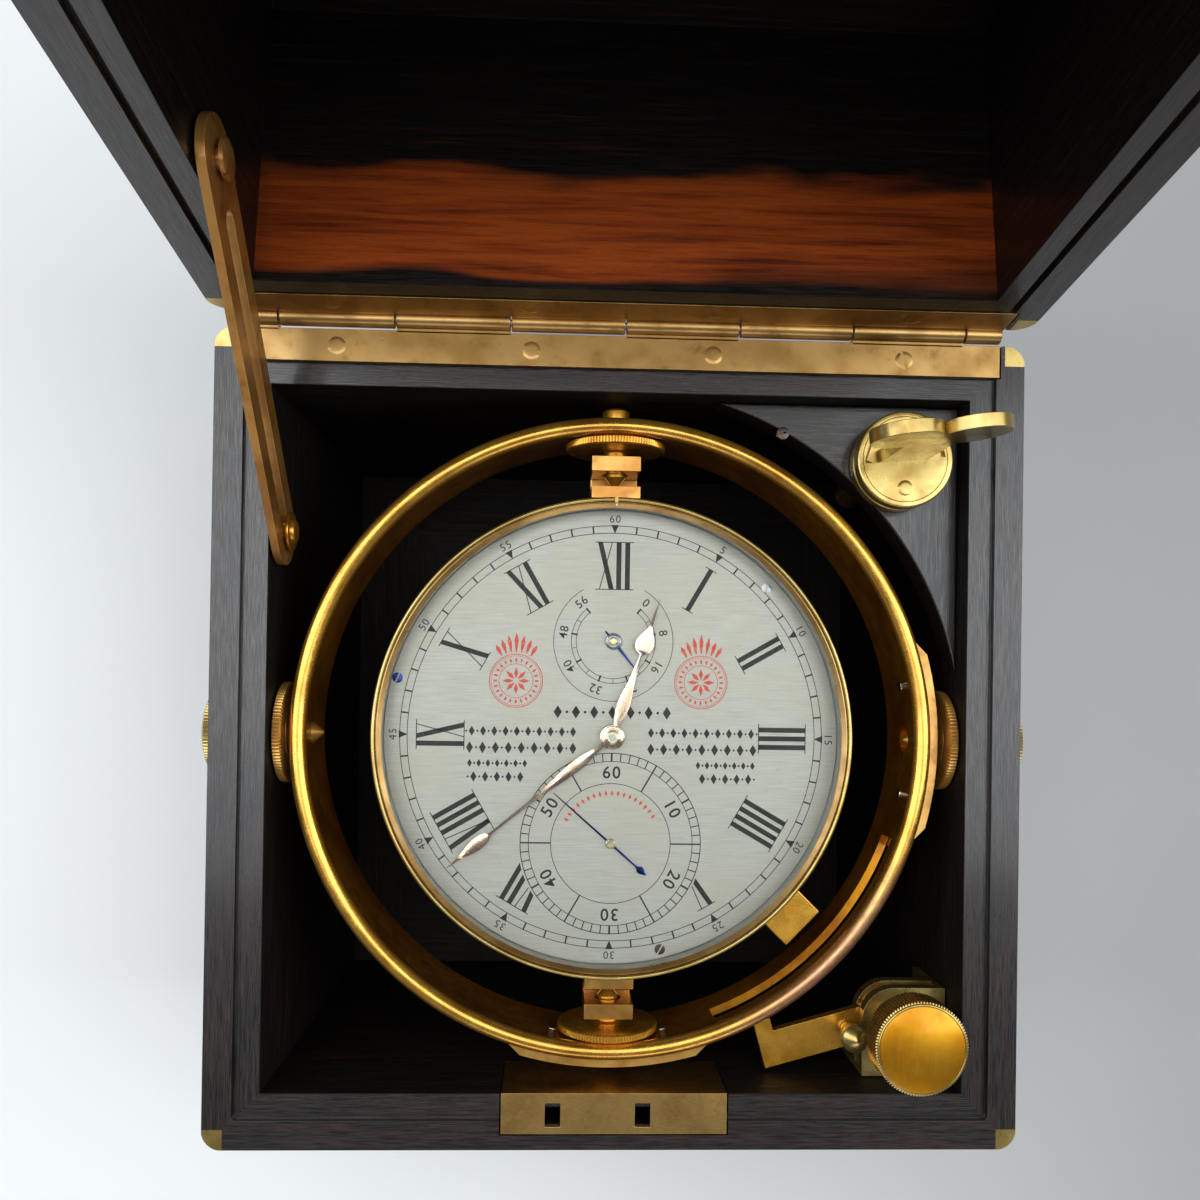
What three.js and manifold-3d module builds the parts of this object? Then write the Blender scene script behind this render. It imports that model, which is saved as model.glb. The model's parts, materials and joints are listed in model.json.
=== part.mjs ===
// Marine chronometer: a gimballed deck watch in a hinged ebony box.
// Millimetres, +Z up, +Y towards the hinge, origin at the middle of the box's underside.
import * as THREE from 'three';
import { mergeVertices } from 'three/addons/utils/BufferGeometryUtils.js';
import Module from 'manifold-3d';

const wasm = await Module();
wasm.setup();

// ---- driving dimensions ----
const GAP = 0.3;                    // running or seating clearance between two pieces
const BOX_SIDE = 180;
const BOX_HEIGHT = 116;             // base to rim
const CORNER_RADIUS = 4.5;
const WALL = 12.5;
const FLOOR = 8;
const LID_HEIGHT = 72;
const LID_INNER_DEPTH = 63;
const LID_OPEN_ANGLE = 98.8;        // degrees between the two rims when the lid rests on its stay
const GROOVE_INSET = 6.4;           // rim groove between outer veneer and liner
const GROOVE_WIDTH = 1.6;
const GROOVE_DEPTH = 1.4;

const HALF = BOX_SIDE / 2;
const INNER = HALF - WALL;          // half width of the cavity
const HINGE_Y = HALF + 2.3;
const HINGE_Z = BOX_HEIGHT;
const HINGE_HALF_LENGTH = 84.3;
const KNUCKLE_ENDS = [-84.3, -75.9, -50.6, -25.3, 0, 25.3, 50.6, 75.9, 84.3];
const KNUCKLE_RADIUS = 1.9;
const LEAF_THICKNESS = 1.5;
const LEAF_WIDTH = 7.1;

const STAY_ARM = 46.7;              // hinge axis to stud, and hinge axis to stay pivot
const STUD_ANGLE = 186.8;           // degrees in the Y-Z plane, from +Y towards +Z
const STAY_SHUT_ANGLE = 112.6;      // between stud and stay pivot when the lid is shut
const STAY_WIDTH = 15;
const STAY_THICKNESS = 1.8;
const STAY_X = -76.9;               // face of the stay nearest the wall
const STAY_SLOT_WIDTH = 5;
const STUD_RADIUS = 2;

const GIMBAL_X = -1.2;
const GIMBAL_Y = 0.6;
const GIMBAL_Z = BOX_HEIGHT - 14;
const RING_OUTER = 71.2;            // outside of the band, below its rolled edge
const RING_INNER = 69.4;
const RING_TOP = 11;                // above the gimbal axes
const RING_BOTTOM = -13;
const BEAD_RADIUS = 1.9;            // rolled edge round the top of the band
const BEAD_CENTRE = 70.6;
const PIVOT_RADIUS = 2.4;
const PIVOT_HOLE = 3;
const DISC_RADIUS = 11.6;
const RING_PLATE_INNER = RING_OUTER + GAP;
const RING_PLATE_OUTER = 75;
const RING_PLATE_BOTTOM = -9;
const RING_PLATE_TOP = 7;
const PIVOT_BOSS_RADIUS = 3.2;      // outer end of a bowl pivot
const RING_SLOT_HALF_ANGLE = 25;
const RING_SLOT_HALF_HEIGHT = 3.5;

const BOWL_OUTER = 52.4;
const BOWL_INNER = 50.6;
const BOWL_TOP = 2.3;
const BOWL_BOTTOM = -58;
const BEZEL_OUTER = 54.4;
const BEZEL_LIP = 52;
const BEZEL_TOP = 10.4;
const DIAL_RADIUS = 52.3;
const DIAL_TOP = 3.9;
const DIAL_THICKNESS = 1.3;
const SECONDS_Y = -24.6;            // seconds arbor, below the dial centre
const RESERVE_Y = 22;               // up-and-down arbor, above the dial centre

const LOCK_ANGLE = -44.3;           // degrees, direction of the lock arm's pivot from the gimbals
const LOCK_DISTANCE = 93;
const ARM_LENGTH = 31.6;
const ARM_WIDTH = 8;
const ARM_THICKNESS = 2.5;
const ARM_REST_ANGLE = 195.5;       // degrees, arm swung clear along the front wall
const THUMB_RADIUS = 10.2;

const KEY_X = 62.8;
const KEY_Y = 63.9;
const KEY_RADIUS = 10.8;
const LOBE_RADIUS = 7.3;            // each wing of the key's grip
const LOBE_OFFSET = 7.1;
const GRIP_TURN = 6;                // degrees, way the grip is left pointing
const GRIP_BACK = 1.2;              // grip behind the middle of its cap
const GRIP_HALF_WAIST = 5.6;
const GRIP_HALF_THICKNESS = 1.4;
const SHELF_TOP = BOX_HEIGHT - 6;
const SHELF_THICKNESS = 8;
const SHELF_ARC = 80;

const rad = THREE.MathUtils.degToRad;

// ---- finishes ----
const EBONY = { color: 0x1c1412, roughness: 0.35, metalness: 0 };
const BRASS = { color: 0xb08a3c, roughness: 0.35, metalness: 1 };
const GILT = { color: 0xc9922e, roughness: 0.3, metalness: 1 };
const STEEL = { color: 0x8f9296, roughness: 0.3, metalness: 1 };
const BLUED = { color: 0x1f2c55, roughness: 0.3, metalness: 1 };
const ROSE_GOLD = { color: 0xb87a5c, roughness: 0.3, metalness: 1 };
const SILVERED = { color: 0xc6c5bf, roughness: 0.45, metalness: 0.6 };
const GLASS = { color: 0xf2f6f6, roughness: 0.05, metalness: 0, transparent: true, opacity: 0.2 };

// ---- geometry helpers ----
function outward(geometry) {
  const bare = geometry.clone();
  bare.deleteAttribute('normal');
  bare.deleteAttribute('uv');
  const merged = mergeVertices(bare, 1e-4);
  const points = merged.attributes.position;
  const a = new THREE.Vector3();
  const b = new THREE.Vector3();
  const c = new THREE.Vector3();
  const kept = [];
  let volume = 0;
  for (let i = 0; i < merged.index.count; i += 3) {
    const [p, q, r] = [0, 1, 2].map((k) => merged.index.getX(i + k));
    if (p === q || q === r || p === r) continue;
    kept.push([p, q, r]);
    a.fromBufferAttribute(points, p);
    b.fromBufferAttribute(points, q);
    c.fromBufferAttribute(points, r);
    volume += a.dot(b.cross(c));
  }
  merged.setIndex(kept.flatMap(([p, q, r]) => (volume < 0 ? [p, r, q] : [p, q, r])));
  return merged;
}

function toSolid(geometry) {
  const closed = outward(geometry);
  const vertProperties = new Float32Array(closed.attributes.position.array);
  const triVerts = new Uint32Array(closed.index.array);
  return new wasm.Manifold(new wasm.Mesh({ numProp: 3, vertProperties, triVerts }));
}

function toGeometry(solid) {
  const { vertProperties, triVerts } = solid.getMesh();
  const geometry = new THREE.BufferGeometry();
  geometry.setAttribute('position', new THREE.Float32BufferAttribute(vertProperties, 3));
  geometry.setIndex([...triVerts]);
  return geometry;
}

function join(...geometries) {
  return toGeometry(geometries.map(toSolid).reduce((sum, next) => sum.add(next)));
}

function cut(base, ...tools) {
  return toGeometry(tools.map(toSolid).reduce((rest, tool) => rest.subtract(tool), toSolid(base)));
}

function block(x0, x1, y0, y1, z0, z1) {
  const geometry = new THREE.BoxGeometry(x1 - x0, y1 - y0, z1 - z0);
  return geometry.translate((x0 + x1) / 2, (y0 + y1) / 2, (z0 + z1) / 2);
}

function lathe(profile, sides = 48) {
  const points = profile.map(([radius, z]) => new THREE.Vector2(radius, z));
  return new THREE.LatheGeometry(points, sides).rotateX(Math.PI / 2);
}

// A turned piece: each row is [radius, z], from one end of its axis to the other.
function turned(rows, sides = 20) {
  return lathe([[0, rows[0][1]], ...rows, [0, rows.at(-1)[1]]], sides);
}

// A turned ring: the rows run round its section and come back to the first.
function hoop(rows, sides = 40) {
  return lathe([...rows, rows[0]], sides);
}

function rod(radius, z0, z1, sides = 12) {
  return turned([[radius, z0], [radius, z1]], sides);
}

function plate(shape, z0, z1, curveSegments = 8) {
  const options = { depth: z1 - z0, bevelEnabled: false, curveSegments };
  return new THREE.ExtrudeGeometry(shape, options).translate(0, 0, z0);
}

function roundedSquare(side, radius) {
  const half = side / 2;
  const inset = half - radius;
  const shape = new THREE.Shape();
  shape.moveTo(inset, -half);
  shape.absarc(inset, -inset, radius, -Math.PI / 2, 0);
  shape.absarc(inset, inset, radius, 0, Math.PI / 2);
  shape.absarc(-inset, inset, radius, Math.PI / 2, Math.PI);
  shape.absarc(-inset, -inset, radius, Math.PI, 1.5 * Math.PI);
  return shape;
}

function stadium(length, radius) {
  const shape = new THREE.Shape();
  shape.absarc(length, 0, radius, -Math.PI / 2, Math.PI / 2);
  shape.absarc(0, 0, radius, Math.PI / 2, 1.5 * Math.PI);
  return shape;
}

function polygon(points) {
  return new THREE.Shape(points.map(([x, y]) => new THREE.Vector2(x, y)));
}

function sector(inner, outer, startAngle, endAngle) {
  const shape = new THREE.Shape();
  shape.absarc(0, 0, outer, rad(startAngle), rad(endAngle));
  shape.absarc(0, 0, inner, rad(endAngle), rad(startAngle), true);
  return shape;
}

// A wheel or pinion with pointed teeth.
function gear(tip, root, teeth, z0, z1) {
  const points = [];
  for (let corner = 0; corner < 2 * teeth; corner += 1) {
    const radius = corner % 2 === 0 ? tip : root;
    const angle = (corner * Math.PI) / teeth;
    points.push([radius * Math.cos(angle), radius * Math.sin(angle)]);
  }
  return plate(polygon(points), z0, z1);
}

// Turns a piece made along Z so that its top points along the given direction.
function aimed(geometry, direction) {
  const up = new THREE.Vector3(0, 0, 1);
  const turn = new THREE.Quaternion().setFromUnitVectors(up, new THREE.Vector3(...direction));
  return geometry.applyQuaternion(turn);
}

function add(parent, name, geometry, finish) {
  const mesh = new THREE.Mesh(geometry, new THREE.MeshStandardMaterial(finish));
  mesh.name = name;
  parent.add(mesh);
  return mesh;
}

function groupAt(parent, x, y, z) {
  const group = new THREE.Group();
  group.position.set(x, y, z);
  parent.add(group);
  return group;
}

// ---- box ----
function rimGroove(z0, z1) {
  const frame = roundedSquare(BOX_SIDE - 2 * GROOVE_INSET, 1);
  frame.holes.push(roundedSquare(BOX_SIDE - 2 * (GROOVE_INSET + GROOVE_WIDTH), 0.5));
  return plate(frame, z0, z1, 2);
}

function leafRecess(z0, z1) {
  const half = HINGE_HALF_LENGTH + GAP;
  return block(-half, half, HALF - LEAF_WIDTH - GAP, HALF + 1, z0, z1);
}

const LOCK_HALF_LENGTH = 25;
const LOCK_Y = -INNER - 9;          // front edge of the plate let into the rim
const LOCK_PLATE_DEPTH = 19;
const LOCK_PLATE_THICKNESS = 1.5;
const STAPLE_HOLES = [-13.6, 6.3];
const KEYHOLE_Z = BOX_HEIGHT - 14;

function boxCarcass() {
  const top = BOX_HEIGHT;
  const outside = plate(roundedSquare(BOX_SIDE, CORNER_RADIUS), 0, top, 4);
  const cavity = block(-INNER, INNER, -INNER, INNER, FLOOR, top + 1);
  const lockPocket = block(-LOCK_HALF_LENGTH - GAP, LOCK_HALF_LENGTH + GAP,
    LOCK_Y - GAP, -INNER + 1, top - LOCK_PLATE_DEPTH - GAP, top + 1);
  const pivotHole = aimed(rod(PIVOT_HOLE, -HALF - 1, HALF + 1), [1, 0, 0]);
  pivotHole.translate(0, GIMBAL_Y, GIMBAL_Z);
  const keyhole = aimed(rod(2, 0, 8, 12), [0, -1, 0]).translate(0, -HALF + 7, KEYHOLE_Z);
  const escutcheonSeat = aimed(rod(9.3, 0, 3, 20), [0, -1, 0]).translate(0, -HALF + 1.5, KEYHOLE_Z);
  return cut(outside, cavity, rimGroove(top - GROOVE_DEPTH, top + 1),
    leafRecess(top - LEAF_THICKNESS - GAP, top + 1), lockPocket, pivotHole, keyhole, escutcheonSeat);
}

function keyholeEscutcheon() {
  const disc = aimed(rod(9, 0, 1.2, 20), [0, -1, 0]);
  const hole = aimed(rod(2, -1, 3, 12), [0, -1, 0]);
  return cut(disc, hole).translate(0, -HALF + 1.2, KEYHOLE_Z);
}

// ---- lid, modelled shut and then swung open about the hinge ----
const LID_RIM = BOX_HEIGHT + GAP;

function lidShell() {
  const top = BOX_HEIGHT + LID_HEIGHT;
  const outside = plate(roundedSquare(BOX_SIDE, CORNER_RADIUS), LID_RIM, top, 4);
  const cavity = block(-INNER, INNER, -INNER, INNER, BOX_HEIGHT - 1, BOX_HEIGHT + LID_INNER_DEPTH);
  const strikeSeat = block(-LOCK_HALF_LENGTH - GAP, LOCK_HALF_LENGTH + GAP,
    LOCK_Y - GAP, -INNER + 1, BOX_HEIGHT - 1, LID_RIM + LOCK_PLATE_THICKNESS + GAP);
  return cut(outside, cavity, rimGroove(BOX_HEIGHT - 1, LID_RIM + GROOVE_DEPTH),
    leafRecess(BOX_HEIGHT - 1, LID_RIM + LEAF_THICKNESS + GAP), strikeSeat);
}

// One half of the hinge. Its knuckles are every second one, starting at the given index.
function hingeLeaf(z0, z1, firstKnuckle) {
  const pieces = [block(-HINGE_HALF_LENGTH, HINGE_HALF_LENGTH, HALF - LEAF_WIDTH, HALF, z0, z1)];
  for (let index = firstKnuckle; index < KNUCKLE_ENDS.length - 1; index += 2) {
    const x0 = KNUCKLE_ENDS[index] + GAP / 2;
    const x1 = KNUCKLE_ENDS[index + 1] - GAP / 2;
    const knuckle = aimed(rod(KNUCKLE_RADIUS, x0, x1), [1, 0, 0]).translate(0, HINGE_Y, HINGE_Z);
    pieces.push(knuckle, block(x0, x1, HALF - 0.5, HINGE_Y, z0, z1));
  }
  const bore = aimed(rod(1.1, -HALF, HALF, 12), [1, 0, 0]).translate(0, HINGE_Y, HINGE_Z);
  return cut(join(...pieces), bore);
}

function hingePin() {
  return aimed(rod(0.8, -HINGE_HALF_LENGTH, HINGE_HALF_LENGTH, 12), [1, 0, 0]);
}

function lidStrike() {
  const z0 = LID_RIM;
  const base = block(-LOCK_HALF_LENGTH, LOCK_HALF_LENGTH, LOCK_Y, -INNER - GAP,
    z0, z0 + LOCK_PLATE_THICKNESS);
  const middle = LOCK_Y + 4.2;
  const staples = STAPLE_HOLES.map((x) => cut(
    block(x - 1.1, x + 1.1, middle - 1.8, middle + 1.8, z0 - 9, z0 + 0.5),
    block(x - 2, x + 2, middle - 0.9, middle + 0.9, z0 - 7.6, z0 - 4.4),
  ));
  return join(base, ...staples);
}

// ---- lock in the front wall ----
function lockPlate() {
  const top = BOX_HEIGHT;
  const rimLeg = block(-LOCK_HALF_LENGTH, LOCK_HALF_LENGTH, LOCK_Y, -INNER,
    top - LOCK_PLATE_THICKNESS, top);
  const innerLeg = block(-LOCK_HALF_LENGTH, LOCK_HALF_LENGTH, -INNER - LOCK_PLATE_THICKNESS, -INNER,
    top - LOCK_PLATE_DEPTH, top);
  const middle = LOCK_Y + 4.2;
  const holes = STAPLE_HOLES.map((x) => block(x - 1.7, x + 1.7, middle - 2.6, middle + 2.6,
    top - 3, top + 1));
  return cut(join(rimLeg, innerLeg), ...holes);
}

// A sliding bar with two fingers that pass through the eyes of the staples.
function lockBolt() {
  const middle = LOCK_Y + 4.2;
  const bar = block(-22, 13, middle - 2.4, middle + 2.4, BOX_HEIGHT - 15, BOX_HEIGHT - 10.5);
  const fingers = STAPLE_HOLES.map((x) => join(
    block(x - 8.2, x - 6.2, middle - 0.6, middle + 0.6, BOX_HEIGHT - 11, BOX_HEIGHT - 4.9),
    block(x - 8.2, x - 2.2, middle - 0.6, middle + 0.6, BOX_HEIGHT - 6.5, BOX_HEIGHT - 4.9),
  ));
  return join(bar, ...fingers);
}

// ---- lid stay ----
const studY = HINGE_Y + STAY_ARM * Math.cos(rad(STUD_ANGLE));
const studZ = HINGE_Z + STAY_ARM * Math.sin(rad(STUD_ANGLE));
const stayPivotAngle = STUD_ANGLE - STAY_SHUT_ANGLE;
const stayPivotY = HINGE_Y + STAY_ARM * Math.cos(rad(stayPivotAngle));
const stayPivotZ = HINGE_Z + STAY_ARM * Math.sin(rad(stayPivotAngle));
const stayReach = Math.hypot(studY - stayPivotY, studZ - stayPivotZ);
const stayShut = 2 * STAY_ARM * Math.sin(rad((STAY_SHUT_ANGLE - LID_OPEN_ANGLE) / 2));

// The stay lies along +X from its pivot, then stands on edge in the Y-Z plane.
function lidStay() {
  const bar = plate(stadium(stayReach, STAY_WIDTH / 2), 0, STAY_THICKNESS);
  const slot = plate(stadium(stayReach - stayShut, STAY_SLOT_WIDTH / 2), -1, STAY_THICKNESS + 1);
  const pivotHole = rod(2.3, -1, STAY_THICKNESS + 1);
  const upright = cut(bar, slot.translate(stayShut, 0, 0), pivotHole);
  upright.applyMatrix4(new THREE.Matrix4().makeBasis(
    new THREE.Vector3(0, 1, 0), new THREE.Vector3(0, 0, 1), new THREE.Vector3(1, 0, 0)));
  return upright;
}

// A shouldered screw: shank through the stay, head on its inner side.
function stayFixing(headRadius) {
  return aimed(turned([[STUD_RADIUS, 0], [STUD_RADIUS, 2.9], [headRadius, 2.9],
    [headRadius, 3.7], [headRadius * 0.7, 4.4]], 24), [1, 0, 0]);
}

// ---- gimbals ----
function gimbalRing() {
  const beadZ = RING_TOP - BEAD_RADIUS;
  const bead = [];
  for (let step = 0; step <= 5; step += 1) {
    const angle = rad(-20 + step * 44);
    bead.push([BEAD_CENTRE + BEAD_RADIUS * Math.cos(angle), beadZ + BEAD_RADIUS * Math.sin(angle)]);
  }
  const section = [[RING_INNER, RING_BOTTOM], [RING_OUTER, RING_BOTTOM],
    [RING_OUTER, beadZ - 1.4], ...bead, [RING_INNER, beadZ - 2]];
  const band = hoop(section, 48);
  const armSlot = plate(sector(60, 80, LOCK_ANGLE - RING_SLOT_HALF_ANGLE,
    LOCK_ANGLE + RING_SLOT_HALF_ANGLE), -RING_SLOT_HALF_HEIGHT, RING_SLOT_HALF_HEIGHT);
  const boxPivots = aimed(rod(PIVOT_HOLE, -80, 80), [1, 0, 0]);
  const bowlPivots = aimed(rod(PIVOT_HOLE, -80, 80), [0, 1, 0]);
  return cut(band, armSlot, boxPivots, bowlPivots);
}

// A curved plate on the outside of the ring, its ends sloped, with a hole for the pivot's boss.
function ringPlate(middleAngle, innerHalfAngle, outerHalfAngle) {
  const shape = new THREE.Shape();
  shape.absarc(0, 0, RING_PLATE_OUTER, rad(-outerHalfAngle), rad(outerHalfAngle));
  shape.absarc(0, 0, RING_PLATE_INNER, rad(innerHalfAngle), rad(-innerHalfAngle), true);
  const hole = aimed(rod(PIVOT_BOSS_RADIUS + GAP, 60, 80), [1, 0, 0]);
  return cut(plate(shape, RING_PLATE_BOTTOM, RING_PLATE_TOP), hole).rotateZ(rad(middleAngle));
}

// Adjustable pivot in a side wall of the box, its point inwards along -Z of its own frame.
function boxPivotScrew(wallFace) {
  const ringInside = wallFace - 9.6;
  return turned([[0.4, ringInside], [PIVOT_RADIUS, ringInside + 2.4], [PIVOT_RADIUS, wallFace - 2.9],
    [4.2, wallFace - 2.9], [DISC_RADIUS, wallFace - 2.4], [DISC_RADIUS, wallFace - GAP],
    [PIVOT_RADIUS, wallFace - GAP], [PIVOT_RADIUS, wallFace + WALL - GAP]]);
}

function outerNut() {
  return turned([[9.3, 0], [9.3, 2.6], [8.6, 3.1]]);
}

// Adjustable pivot in the ring, its point inwards along -Z of its own frame.
function bowlPivotScrew() {
  const inner = RING_INNER - 1.1;
  return turned([[0.3, 57.8], [PIVOT_RADIUS, 60.4], [PIVOT_RADIUS, inner - 3.4],
    [4.4, inner - 3.4], [DISC_RADIUS, inner - 2.6], [DISC_RADIUS, inner],
    [PIVOT_RADIUS, inner], [PIVOT_RADIUS, RING_OUTER + 1.2], [PIVOT_BOSS_RADIUS, RING_OUTER + 1.2],
    [PIVOT_BOSS_RADIUS, RING_PLATE_OUTER + 0.8], [2.6, RING_PLATE_OUTER + 1.2]]);
}

// U-shaped bracket on the side of the bowl. The screw point bears in its inner leg.
function trunnionBlock() {
  const body = join(
    block(-5.7, 5.7, BOWL_OUTER + 0.5, 64.5, -8.5, -5.5),
    block(-5.7, 5.7, 54.8, 57.6, -8.5, 6),
    block(-5.7, 5.7, 61, 64.5, -8.5, 6),
  );
  const bore = aimed(rod(PIVOT_HOLE, 60, 66), [0, 1, 0]);
  return cut(body, bore);
}

// Forked block on the bowl that takes the lock arm's end between its lips.
function bowlCatch() {
  const body = block(BOWL_OUTER + 0.6, 64, -5.5, 5.5, -5.8, -3.3);
  const back = block(54.9, 57, -5.5, 5.5, -5.8, 4);
  const lower = block(54.9, 64, -5.5, 5.5, -3.5, -1.6);
  const lip = block(54.9, 62.8, -5.5, 5.5, 1.6, 4);
  return join(body, back, lower, lip).rotateZ(rad(LOCK_ANGLE));
}

// ---- bowl ----
function bowlShell() {
  const shell = lathe([[0, BOWL_BOTTOM], [36, BOWL_BOTTOM], [45, -55.6], [50.4, -50],
    [BOWL_OUTER, -43], [BOWL_OUTER, BOWL_TOP], [BOWL_INNER, BOWL_TOP], [BOWL_INNER, -43],
    [48.6, -49], [43.8, -53.9], [36, BOWL_BOTTOM + 2], [0, BOWL_BOTTOM + 2]], 40);
  const windingHole = rod(5, BOWL_BOTTOM - 1, BOWL_BOTTOM + 3, 20).translate(FUSEE.x, FUSEE.y, 0);
  const shutterHole = rod(1.4, BOWL_BOTTOM - 1, BOWL_BOTTOM + 3, 12);
  return cut(shell, windingHole, shutterHole);
}

function bezel() {
  return hoop([[BEZEL_OUTER, -3], [BEZEL_OUTER, 8.6], [BEZEL_OUTER - 0.8, BEZEL_TOP],
    [BEZEL_LIP, BEZEL_TOP], [BEZEL_LIP, 9.3], [BOWL_OUTER + 0.4, 9.3], [BOWL_OUTER + 0.4, -3]]);
}

function dial() {
  const disc = rod(DIAL_RADIUS, DIAL_TOP - DIAL_THICKNESS, DIAL_TOP, 40);
  const holes = [rod(2.6, 0, 5), rod(1.1, 0, 5, 12).translate(0, SECONDS_Y, 0),
    rod(1.1, 0, 5, 12).translate(0, RESERVE_Y, 0)];
  return cut(disc, ...holes);
}

// Winding-hole cover that swings about the middle of the bowl's underside.
function dustShutter() {
  const reach = Math.hypot(FUSEE.x, FUSEE.y);
  const leaf = plate(stadium(reach, 7), BOWL_BOTTOM - 1.5, BOWL_BOTTOM - GAP);
  leaf.rotateZ(Math.atan2(FUSEE.y, FUSEE.x));
  return join(leaf, rod(1, BOWL_BOTTOM - 1, BOWL_BOTTOM + 3, 12));
}

// ---- hands ----
// A spade hand along +X: tapering shank, leaf and point, with a round boss at its axis.
function spadeHand(length, z0, z1, boss) {
  const leafStart = length * 0.62;
  const outline = polygon([[0, -0.9], [leafStart, -0.55], [length * 0.74, -1.9], [length * 0.86, -0.7],
    [length, -0.15], [length, 0.15], [length * 0.86, 0.7], [length * 0.74, 1.9], [leafStart, 0.55],
    [0, 0.9]]);
  return join(plate(outline, z0, z1), rod(boss, z0, z1, 20));
}

function needleHand(length, tail, z0, z1) {
  const outline = polygon([[-tail, -0.5], [length - 2.6, -0.25], [length - 2.2, -0.9], [length, -0.1],
    [length, 0.1], [length - 2.2, 0.9], [length - 2.6, 0.25], [-tail, 0.5]]);
  return join(plate(outline, z0, z1), rod(1.3, z0, z1 + 0.1, 16));
}

function hourHand() {
  const hand = spadeHand(33.6, 4.95, 5.35, 2.9);
  const pipe = rod(2.2, 0.4, 5.3, 16);
  const wheel = gear(8.5, 7.7, 20, 0.4, 1.4);
  return cut(join(hand, pipe, wheel), rod(1.5, -1, 7, 12));
}

function minuteHand() {
  return join(spadeHand(48, 5.75, 6.15, 2.6), turned([[2, 6], [1.6, 6.8]], 20),
    block(-0.7, 0.7, -0.7, 0.7, 6.5, 7.1));
}

// ---- movement: arbors in plan, levels from the gimbal axes ----
const FUSEE = { x: -17, y: 14 };
const BARREL = { x: 21, y: 14 };
const THIRD = { x: 7.25, y: -12.6 };
const FOURTH = { x: 0, y: SECONDS_Y };
const ESCAPE = { x: -10.7, y: -25.6 };
const BALANCE = { x: -5, y: -18 };
const PLATE_RADIUS = 48;
const PILLAR_PLATE = { bottom: -2.8, top: -0.3 };
const BACK_PLATE = { bottom: -33.6, top: -31.2 };

function pivotHoles(arbors, z0, z1) {
  return arbors.map(({ x, y, radius }) => rod(radius, z0, z1, 12).translate(x, y, 0));
}

function pillarPlate() {
  const { bottom, top } = PILLAR_PLATE;
  const pillars = [90, 190, 270, 350].map((angle) => rod(2.4, BACK_PLATE.top + GAP, bottom + 0.5, 12)
    .translate(43 * Math.cos(rad(angle)), 43 * Math.sin(rad(angle)), 0));
  const body = join(rod(PLATE_RADIUS, bottom, top, 36), ...pillars);
  return cut(body, ...pivotHoles([{ x: 0, y: 0, radius: 1.5 }, { ...FOURTH, radius: 1.2 },
    { x: 0, y: RESERVE_Y, radius: 1.2 }], bottom - 1, top + 1));
}

function backPlate() {
  const { bottom, top } = BACK_PLATE;
  return cut(rod(PLATE_RADIUS, bottom, top, 36), ...pivotHoles([{ ...FUSEE, radius: 3 },
    { ...ESCAPE, radius: 1.3 }], bottom - 1, top + 1));
}

function barrel() {
  return join(rod(16, -28.5, -8, 28), rod(1.6, -30.9, -3.1, 8)).translate(BARREL.x, BARREL.y, 0);
}

// The fusee is a waisted cone, so that the chain pulls evenly as the spring runs down.
function fusee() {
  const cone = turned([[15.4, -26.4], [15.4, -25.2], [12.4, -21.5], [10.2, -17.5], [8.7, -13.5],
    [7.7, -9.4], [8.6, -9.2], [8.6, -8.2]], 20);
  const arbor = rod(1.8, -44, -3.1, 12);
  const square = block(-1.6, 1.6, -1.6, 1.6, -53, -43.5);
  return join(cone, arbor, square).translate(FUSEE.x, FUSEE.y, 0);
}

function greatWheel() {
  return cut(gear(18.2, 17.3, 36, -29.4, -27), rod(2.2, -31, -26, 12)).translate(FUSEE.x, FUSEE.y, 0);
}

function centreWheel() {
  return join(gear(11.4, 10.6, 28, -5.9, -4.6), gear(3.4, 2.6, 8, -30.4, -26.6),
    rod(1.1, -30.8, 5.4, 8));
}

function thirdWheel() {
  return join(gear(11.2, 10.4, 26, -10.8, -9.5), gear(2.6, 1.9, 6, -8, -4),
    rod(0.8, -30.8, -3.2, 8)).translate(THIRD.x, THIRD.y, 0);
}

function fourthWheel() {
  return join(gear(8.4, 7.7, 24, -15.8, -14.6), gear(2.4, 1.7, 6, -13.5, -9),
    rod(0.7, -30.8, 3.8, 8)).translate(FOURTH.x, FOURTH.y, 0);
}

function escapeWheel() {
  return join(gear(6, 4.6, 15, -36.2, -35), gear(1.9, 1.3, 7, -16.6, -14),
    rod(0.7, -38, -3.2, 8)).translate(ESCAPE.x, ESCAPE.y, 0);
}

// Compensation balance: rim, cross bar, rim weights and staff with its impulse roller.
function balanceWheel() {
  const rim = hoop([[12.6, -45], [14, -45], [14, -42], [12.6, -42]], 28);
  const bar = block(-13, 13, -1.4, 1.4, -44.2, -42.8);
  const weights = [1, -1].map((side) => rod(2.3, -45.6, -41.4, 8).translate(0, side * 13.3, 0));
  const staff = rod(0.8, -52.8, -34.2, 8);
  const roller = rod(2.6, -36.4, -35);
  return join(rim, bar, ...weights, staff, roller).translate(BALANCE.x, BALANCE.y, 0);
}

class Helix extends THREE.Curve {
  constructor(radius, z0, z1, turns) {
    super();
    Object.assign(this, { radius, z0, z1, turns });
  }

  getPoint(t, target = new THREE.Vector3()) {
    const angle = 2 * Math.PI * this.turns * t;
    const z = this.z0 + (this.z1 - this.z0) * t;
    return target.set(this.radius * Math.cos(angle), this.radius * Math.sin(angle), z);
  }
}

function balanceSpring() {
  const wire = new THREE.Shape();
  wire.absarc(0, 0, 0.25, 0, 2 * Math.PI);
  const options = { steps: 50, curveSegments: 2, extrudePath: new Helix(4.6, -51.5, -45.6, 5) };
  return new THREE.ExtrudeGeometry(wire, options).translate(BALANCE.x, BALANCE.y, 0);
}

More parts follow.
